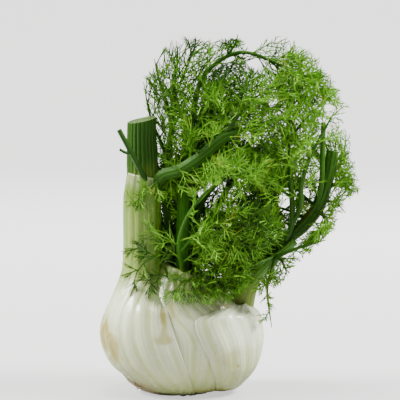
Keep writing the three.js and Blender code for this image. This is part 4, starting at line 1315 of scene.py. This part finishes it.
def sheath_material(side, ribs):
    settings = bpy.context.scene.fennel_bulb
    white, vein = tuple(settings.white), tuple(settings.vein)
    green, stain = tuple(settings.pale_green), tuple(settings.stain)
    material, nodes, shader = new_material("Bulb Sheath " + side)
    link = material.node_tree.links.new
    place = nodes.add("ShaderNodeTexCoord").outputs["Object"]
    xyz = nodes.add("ShaderNodeSeparateXYZ", {0: place}).outputs
    veins = nodes.group(vein_group(), Lines=float(ribs), Width=0.2, Wander=0.3)
    cloud = nodes.noise(place, 28.0)

    # White, with a darker green-yellow cast low on the bulb, its own tint and painted shade, and a greener
    # stem
    warm = (white[0] * 0.62, white[1] * 0.64, white[2] * 0.34, 1)
    colour = nodes.mix(nodes.math("MULTIPLY", nodes.ramp(cloud, 0.35, 0.7), 0.3), white, warm)
    # Darker and yellower towards the bottom: the bulb's own tint and painted shade
    colour = nodes.mix(nodes.ramp(xyz[2], *LOW_TINT_AND_SHADE_FADE, 0.8, 0.0), colour, warm)
    fine = nodes.math("MULTIPLY", veins["Fine"], nodes.ramp(cloud, 0.3, 0.7, 0.05, 0.35))
    colour = nodes.mix(fine, colour, warm)
    colour = nodes.mix(nodes.ramp(xyz[2], *WHITE_TURNS_GREEN, 0.0, 0.9), colour, green)
    deep = (green[0] * 0.52, green[1] * 0.64, green[2] * 0.38, 1)
    colour = nodes.mix(nodes.ramp(xyz[2], *GREEN_TURNS_DEEP, 0.0, 0.9), colour, deep)
    if side == "left":
        # Painted shade: the pale stem's inner side turns a darker green
        edge = nodes.math("MULTIPLY", nodes.ramp(xyz[0], -0.0235, -0.0145), nodes.ramp(xyz[2], 0.055, 0.092))
        colour = nodes.mix(nodes.math("MULTIPLY", edge, 0.9), colour, STEM_INNER_SHADE)
        far = nodes.math("MULTIPLY", nodes.ramp(xyz[0], -0.0345, -0.0375), nodes.ramp(xyz[2], 0.085, 0.11))
        colour = nodes.mix(nodes.math("MULTIPLY", far, 0.6), colour, STEM_FAR_SIDE)
        colour = nodes.mix(nodes.ramp(xyz[2], *LIP_TURNS_PALE, 0.0, 0.75), colour, STEM_LIP)
    # Painted shade under the fronds on the middle sheath's top
    if side == "middle":
        colour = nodes.mix(nodes.ramp(xyz[2], *MIDDLE_SHADE_HEIGHTS, 0.0, 0.8), colour, MIDDLE_TOP_SHADE)

    strength = nodes.math("MULTIPLY", veins["Vein"], nodes.ramp(cloud, 0.3, 0.6, 0.3, 0.75))
    green_vein = (green[0] * 0.75, green[1] * 0.8, green[2] * 0.6, 1)
    vein_colour = nodes.mix(nodes.ramp(xyz[2], *VEINS_TURN_GREEN), vein, green_vein)
    colour = nodes.mix(strength, colour, vein_colour)

    # Painted highlights: white patches where the lamps light the bulb's shoulders
    for centre, reach, amount in PAINTED_HIGHLIGHTS.get(side, []):
        patch = nodes.group(patch_group(), Centre=centre, Reach=reach, Grain=40.0)
        colour = nodes.mix(nodes.math("MULTIPLY", patch["Mask"], amount), colour, HIGHLIGHT_WHITE)
    for centre, reach, amount in STAINS[side]:
        patch = nodes.group(patch_group(), Centre=centre, Reach=reach, Grain=150.0)
        colour = nodes.mix(nodes.math("MULTIPLY", patch["Mask"], amount), colour, stain)

    link(colour, shader.inputs["Base Color"])
    fibre = nodes.math("MULTIPLY", nodes.noise(place, 900.0, stretch=0.15), 0.3)
    height = nodes.math("ADD", nodes.math("MULTIPLY", veins["Fine"], -0.4), fibre)
    height = nodes.math("ADD", height, nodes.math("MULTIPLY", veins["Vein"], -0.6))
    bump = nodes.add("ShaderNodeBump", {"Strength": 0.45, "Distance": 0.0005, "Height": height})
    link(bump.outputs[0], shader.inputs["Normal"])
    wet = nodes.noise(place, 130.0, 2.0, stretch=0.4)
    link(nodes.ramp(wet, 0.35, 0.62, 0.5, 0.24), shader.inputs["Roughness"])
    link(nodes.ramp(xyz[2], 0.06, 0.09, 0.3, 0.04), shader.inputs["Coat Weight"])
    shader.inputs["Coat Roughness"].default_value = 0.15
    shader.inputs["Subsurface Weight"].default_value = 0.15
    shader.inputs["Subsurface Radius"].default_value = (0.004, 0.004, 0.002)
    shader.inputs["Subsurface Scale"].default_value = 1.0
    return material


# Colours and the stain of the leaf base at the right
LEAF_PALE = (0.16, 0.22, 0.04, 1)
LEAF_GREEN = (0.055, 0.18, 0.009, 1)
LEAF_VEIN = (0.24, 0.34, 0.06, 1)
LEAF_STAIN = (0.28, 0.24, 0.08, 1)
LEAF_STAINED = {"Centre": (0.036, -0.006, 0.058), "Reach": (0.005, 0.01, 0.006), "Grain": 150.0}


def gutter_material():
    material, nodes, shader = new_material("Leaf Base")
    link = material.node_tree.links.new
    place = nodes.add("ShaderNodeTexCoord").outputs["Object"]
    xyz = nodes.add("ShaderNodeSeparateXYZ", {0: place}).outputs
    veins = nodes.group(vein_group(), Lines=12.0, Width=0.22, Wander=0.2)
    colour = nodes.mix(nodes.ramp(xyz[2], 0.062, 0.084), LEAF_PALE, LEAF_GREEN)
    colour = nodes.mix(nodes.math("MULTIPLY", veins["Vein"], 0.25), colour, LEAF_VEIN)
    patch = nodes.group(patch_group(), **LEAF_STAINED)
    colour = nodes.mix(nodes.math("MULTIPLY", patch["Mask"], 0.6), colour, LEAF_STAIN)
    link(colour, shader.inputs["Base Color"])
    height = nodes.math("MULTIPLY", veins["Vein"], 0.8)
    bump = nodes.add("ShaderNodeBump", {"Strength": 0.4, "Distance": 0.0004, "Height": height})
    link(bump.outputs[0], shader.inputs["Normal"])
    shader.inputs["Roughness"].default_value = 0.5
    shader.inputs["Specular IOR Level"].default_value = 0.12
    return material


# Colours and patches of the stalks
STALK_SHADE = (0.022, 0.085, 0.006, 1)
FROND_FURROW = (0.022, 0.085, 0.005, 1)
FROND_RIDGE = (0.05, 0.14, 0.012, 1)
FROND_FOOT = (0.13, 0.2, 0.02, 1)
CUT_FOOT = (0.14, 0.22, 0.03, 1)
# A vivid green patch low on the arch stalk: its own green, brightened as painted light where it lies in shade
VIVID_LIT_GREEN = (0.05, 0.2, 0.006, 1)
VIVID_LIT_PATCH = {"Centre": (0.001, -0.002, 0.106), "Reach": (0.014, 0.03, 0.028), "Grain": 60.0}
SCAR_BROWN = (0.12, 0.08, 0.02, 1)
SCAR = {"Centre": (0.080, -0.004, 0.122), "Reach": (0.005, 0.009, 0.007), "Grain": 200.0}


def stalk_material(kind, ribs):
    settings = bpy.context.scene.fennel_fronds
    name = "Stalk " + kind
    if name in bpy.data.materials:
        return bpy.data.materials[name]
    material, nodes, shader = new_material(name)
    link = material.node_tree.links.new
    place = nodes.add("ShaderNodeTexCoord").outputs["Object"]
    xyz = nodes.add("ShaderNodeSeparateXYZ", {0: place}).outputs
    veins = nodes.group(vein_group(), Lines=float(ribs), Width=0.3, Wander=0.2)
    cloud = nodes.noise(place, 60.0)
    ridge = nodes.math("SUBTRACT", 1.0, veins["Vein"])
    colour = nodes.mix(nodes.ramp(cloud, 0.35, 0.7, 0.0, 0.6), tuple(settings.stalk), STALK_SHADE)
    colour = nodes.mix(nodes.math("MULTIPLY", ridge, 0.5), colour, tuple(settings.stalk_rib))
    if kind == "frond":
        colour = nodes.mix(0.65, colour, nodes.mix(ridge, FROND_FURROW, FROND_RIDGE))
        # Painted light on the arch stalk's shaded lower part, over its own vivid green
        vivid_lit = nodes.group(patch_group(), **VIVID_LIT_PATCH)
        colour = nodes.mix(nodes.math("MULTIPLY", vivid_lit["Mask"], 0.85), colour, VIVID_LIT_GREEN)
        foot = nodes.ramp(xyz[2], 0.07, 0.09, 0.7, 0.0)
        colour = nodes.mix(foot, colour, FROND_FOOT)
        scar = nodes.group(patch_group(), **SCAR)
        colour = nodes.mix(nodes.math("MULTIPLY", scar["Mask"], 0.8), colour, SCAR_BROWN)
    elif kind == "cut":
        foot = nodes.ramp(xyz[2], 0.139, 0.156, 0.8, 0.0)
        colour = nodes.mix(foot, colour, CUT_FOOT)
        lit = nodes.ramp(xyz[0], -0.029, -0.034, 0.0, 0.7)
        colour = nodes.mix(lit, colour, tuple(settings.stalk_rib))
    link(colour, shader.inputs["Base Color"])
    bump = nodes.add("ShaderNodeBump", {"Strength": 0.4, "Distance": 0.0004, "Height": ridge})
    link(bump.outputs[0], shader.inputs["Normal"])
    shader.inputs["Roughness"].default_value = 0.45
    shader.inputs["Specular IOR Level"].default_value = 0.12
    return material


CUT_FACE_PALE = (0.09, 0.14, 0.03, 1)
CUT_FACE_DARK = (0.04, 0.08, 0.012, 1)
SCAB_PALE = (0.52, 0.46, 0.27, 1)
SCAB_BROWN = (0.30, 0.22, 0.09, 1)
SCAB_DARK = (0.10, 0.06, 0.025, 1)
DRY_THREAD = (0.24, 0.24, 0.03, 1)


def cut_face_material():
    material, nodes, shader = new_material("Cut Face")
    link = material.node_tree.links.new
    place = nodes.add("ShaderNodeTexCoord").outputs["Object"]
    cells = nodes.add("ShaderNodeTexVoronoi", {"Vector": place, "Scale": 700.0}).outputs["Distance"]
    colour = nodes.mix(nodes.ramp(cells, 0.1, 0.7), CUT_FACE_PALE, CUT_FACE_DARK)
    link(colour, shader.inputs["Base Color"])
    bump = nodes.add("ShaderNodeBump", {"Strength": 0.4, "Distance": 0.0003, "Height": cells})
    link(bump.outputs[0], shader.inputs["Normal"])
    shader.inputs["Roughness"].default_value = 0.6
    shader.inputs["Specular IOR Level"].default_value = 0.12
    return material


def root_material():
    material, nodes, shader = new_material("Root Plate")
    link = material.node_tree.links.new
    place = nodes.add("ShaderNodeTexCoord").outputs["Object"]
    noise = nodes.noise(place, 420.0, 5.0, Roughness=0.7)
    patch = nodes.group(patch_group(), Centre=(0.0, 0.0, 0.0), Reach=(1.0, 1.0, 1.0), Grain=260.0)
    colour = nodes.mix(nodes.ramp(noise, 0.35, 0.65), SCAB_PALE, SCAB_BROWN)
    colour = nodes.mix(nodes.math("MULTIPLY", patch["Blotch"], 0.7), colour, SCAB_DARK)
    link(colour, shader.inputs["Base Color"])
    bump = nodes.add("ShaderNodeBump", {"Strength": 0.8, "Distance": 0.001, "Height": noise})
    link(bump.outputs[0], shader.inputs["Normal"])
    shader.inputs["Roughness"].default_value = 0.85
    return material


def frond_material(settings):
    name = "Feather"
    if name in bpy.data.materials:
        return bpy.data.materials[name]
    material, nodes, shader = new_material(name)
    link = material.node_tree.links.new
    place = nodes.add("ShaderNodeTexCoord").outputs["Object"]
    tone = nodes.add("ShaderNodeAttribute", attribute_name="tone").outputs["Fac"]
    cloud = nodes.noise(place, 35.0, 2.0)
    drift = nodes.math("MULTIPLY", nodes.math("SUBTRACT", cloud, 0.5), 0.7)
    share = nodes.math("ADD", tone, drift, clamp=True)
    colour = nodes.mix(share, tuple(settings.dark), tuple(settings.bright))
    dry = nodes.noise(place, 70.0)
    aged = nodes.math("MULTIPLY", nodes.ramp(dry, 0.58, 0.7), nodes.ramp(tone, 0.35, 0.6))
    colour = nodes.mix(nodes.math("MULTIPLY", aged, 0.6), colour, DRY_THREAD)
    link(colour, shader.inputs["Base Color"])
    link(nodes.ramp(cloud, 0.3, 0.7, 0.42, 0.6), shader.inputs["Roughness"])
    shader.inputs["Specular IOR Level"].default_value = 0.18
    return material


# Stage


# Sizes in metres of the floor and of the backdrop that rises behind it in a curve
FLOOR_SIZE = 6
BACKDROP_HEIGHT = 4
BACKDROP_CURVE = 1.5

VIEW_CENTRE = (11.7, 0, 126.75)
LIGHT_AIM = (0.01, 0, 0.1)

# Soft lights: name, place in metres, size in metres and power in watts
LIGHTS = (
    ("key", (-1.0, 0.0, 0.85), 0.35, 44),
    ("right", (0.92, -0.1, 0.98), 0.35, 50),
    ("top", (0.0, -0.1, 1.2), 0.5, 16),
    ("back", (0.2, 1.0, 0.7), 0.9, 7),
)


class FENNEL_OT_stage(bpy.types.Operator):
    """Set up the floor, the soft lights and the camera"""

    bl_idname = "fennel.stage"
    bl_label = "Stage"

    def execute(self, context):
        settings = context.scene.fennel_stage
        self.backdrop(settings)
        self.lights(context)
        self.camera(context, settings)
        return {"FINISHED"}

    def backdrop(self, settings):
        bpy.ops.object.select_all(action="DESELECT")
        bpy.ops.mesh.primitive_plane_add(size=FLOOR_SIZE, location=(0, 0, 0))
        floor = bpy.context.object
        floor.name = "floor"
        bpy.ops.object.mode_set(mode="EDIT")
        bpy.ops.mesh.select_all(action="DESELECT")
        bpy.ops.object.mode_set(mode="OBJECT")
        for edge in floor.data.edges:
            edge.select = all(floor.data.vertices[i].co.y > FLOOR_SIZE / 3 for i in edge.vertices)
        bpy.ops.object.mode_set(mode="EDIT")
        bpy.ops.mesh.select_mode(type="EDGE")
        bpy.ops.mesh.extrude_region_move(TRANSFORM_OT_translate={"value": (0, 0, BACKDROP_HEIGHT)})
        bpy.ops.object.mode_set(mode="OBJECT")
        for edge in floor.data.edges:
            ends = [floor.data.vertices[i].co for i in edge.vertices]
            edge.select = all(end.y > FLOOR_SIZE / 3 and abs(end.z) < 1e-6 for end in ends)
        bpy.ops.object.mode_set(mode="EDIT")
        bpy.ops.mesh.bevel(offset=BACKDROP_CURVE, segments=16)
        bpy.ops.object.mode_set(mode="OBJECT")
        bpy.ops.object.shade_smooth()
        material, nodes, shader = new_material("Backdrop")
        place = nodes.add("ShaderNodeTexCoord").outputs["Object"]
        away = nodes.add("ShaderNodeSeparateXYZ", {0: place}).outputs[1]
        glow = nodes.ramp(away, 0.0, 0.9, 0.9, 2.1)
        seen = nodes.add("ShaderNodeLightPath").outputs["Is Camera Ray"]
        link = material.node_tree.links.new
        link(nodes.math("MULTIPLY", glow, seen), shader.inputs["Emission Strength"])
        shader.inputs["Emission Color"].default_value = tuple(settings.backdrop)
        shader.inputs["Base Color"].default_value = tuple(0.4 * c for c in settings.backdrop[:3]) + (1,)
        shader.inputs["Roughness"].default_value = 0.9
        floor.data.materials.append(material)

    def lights(self, context):
        world = bpy.data.worlds.new("Soft Daylight")
        world.use_nodes = True
        background = world.node_tree.nodes["Background"]
        background.inputs["Color"].default_value = (1.0, 1.0, 1.0, 1)
        background.inputs["Strength"].default_value = 0.24
        context.scene.world = world
        aim = Vector(LIGHT_AIM)
        for name, place, size, power in LIGHTS:
            light = bpy.data.lights.new(name, "AREA")
            light.size = size
            light.energy = power
            lamp = bpy.data.objects.new(name, light)
            lamp.location = place
            lamp.rotation_euler = (aim - Vector(place)).to_track_quat("-Z", "Y").to_euler()
            context.scene.collection.objects.link(lamp)

    def camera(self, context, settings):
        camera = bpy.data.cameras.new("camera")
        camera.lens = settings.focal_length
        camera.sensor_width = 36
        distance = settings.view_width * settings.focal_length / camera.sensor_width
        aim = Vector(VIEW_CENTRE) * MM
        away = Vector((0, -math.cos(settings.elevation), math.sin(settings.elevation)))
        eye = bpy.data.objects.new("camera", camera)
        eye.location = aim + away * distance
        eye.rotation_euler = (-away).to_track_quat("-Z", "Y").to_euler()
        context.scene.collection.objects.link(eye)
        context.scene.camera = eye


class FENNEL_PT_panel(bpy.types.Panel):
    """The fennel's steps and settings in the sidebar"""

    bl_label = "Fennel"
    bl_idname = "FENNEL_PT_panel"
    bl_space_type = "VIEW_3D"
    bl_region_type = "UI"
    bl_category = "Fennel"

    def draw(self, context):
        for operator in OPERATORS:
            self.layout.operator(operator.bl_idname)
        for group in (context.scene.fennel_bulb, context.scene.fennel_fronds, context.scene.fennel_stage):
            box = self.layout.box()
            for name in group.__annotations__:
                box.prop(group, name)


OPERATORS = (FENNEL_OT_root_plate, FENNEL_OT_sheaths, FENNEL_OT_cut_stalk, FENNEL_OT_fronds, FENNEL_OT_stage)
GROUPS = {
    "fennel_bulb": FennelBulbSettings,
    "fennel_fronds": FennelFrondSettings,
    "fennel_stage": FennelStageSettings,
}


def register():
    for group in GROUPS.values():
        bpy.utils.register_class(group)
    for operator in OPERATORS:
        bpy.utils.register_class(operator)
    bpy.utils.register_class(FENNEL_PT_panel)
    for name, group in GROUPS.items():
        setattr(bpy.types.Scene, name, bpy.props.PointerProperty(type=group))


def unregister():
    for name in GROUPS:
        delattr(bpy.types.Scene, name)
    bpy.utils.unregister_class(FENNEL_PT_panel)
    for group in reversed(OPERATORS + tuple(GROUPS.values())):
        bpy.utils.unregister_class(group)


def main():
    register()
    bpy.ops.fennel.root_plate()
    bpy.ops.fennel.sheaths()
    bpy.ops.fennel.cut_stalk()
    bpy.ops.fennel.fronds()
    bpy.ops.fennel.stage()


if __name__ == "__main__":
    main()
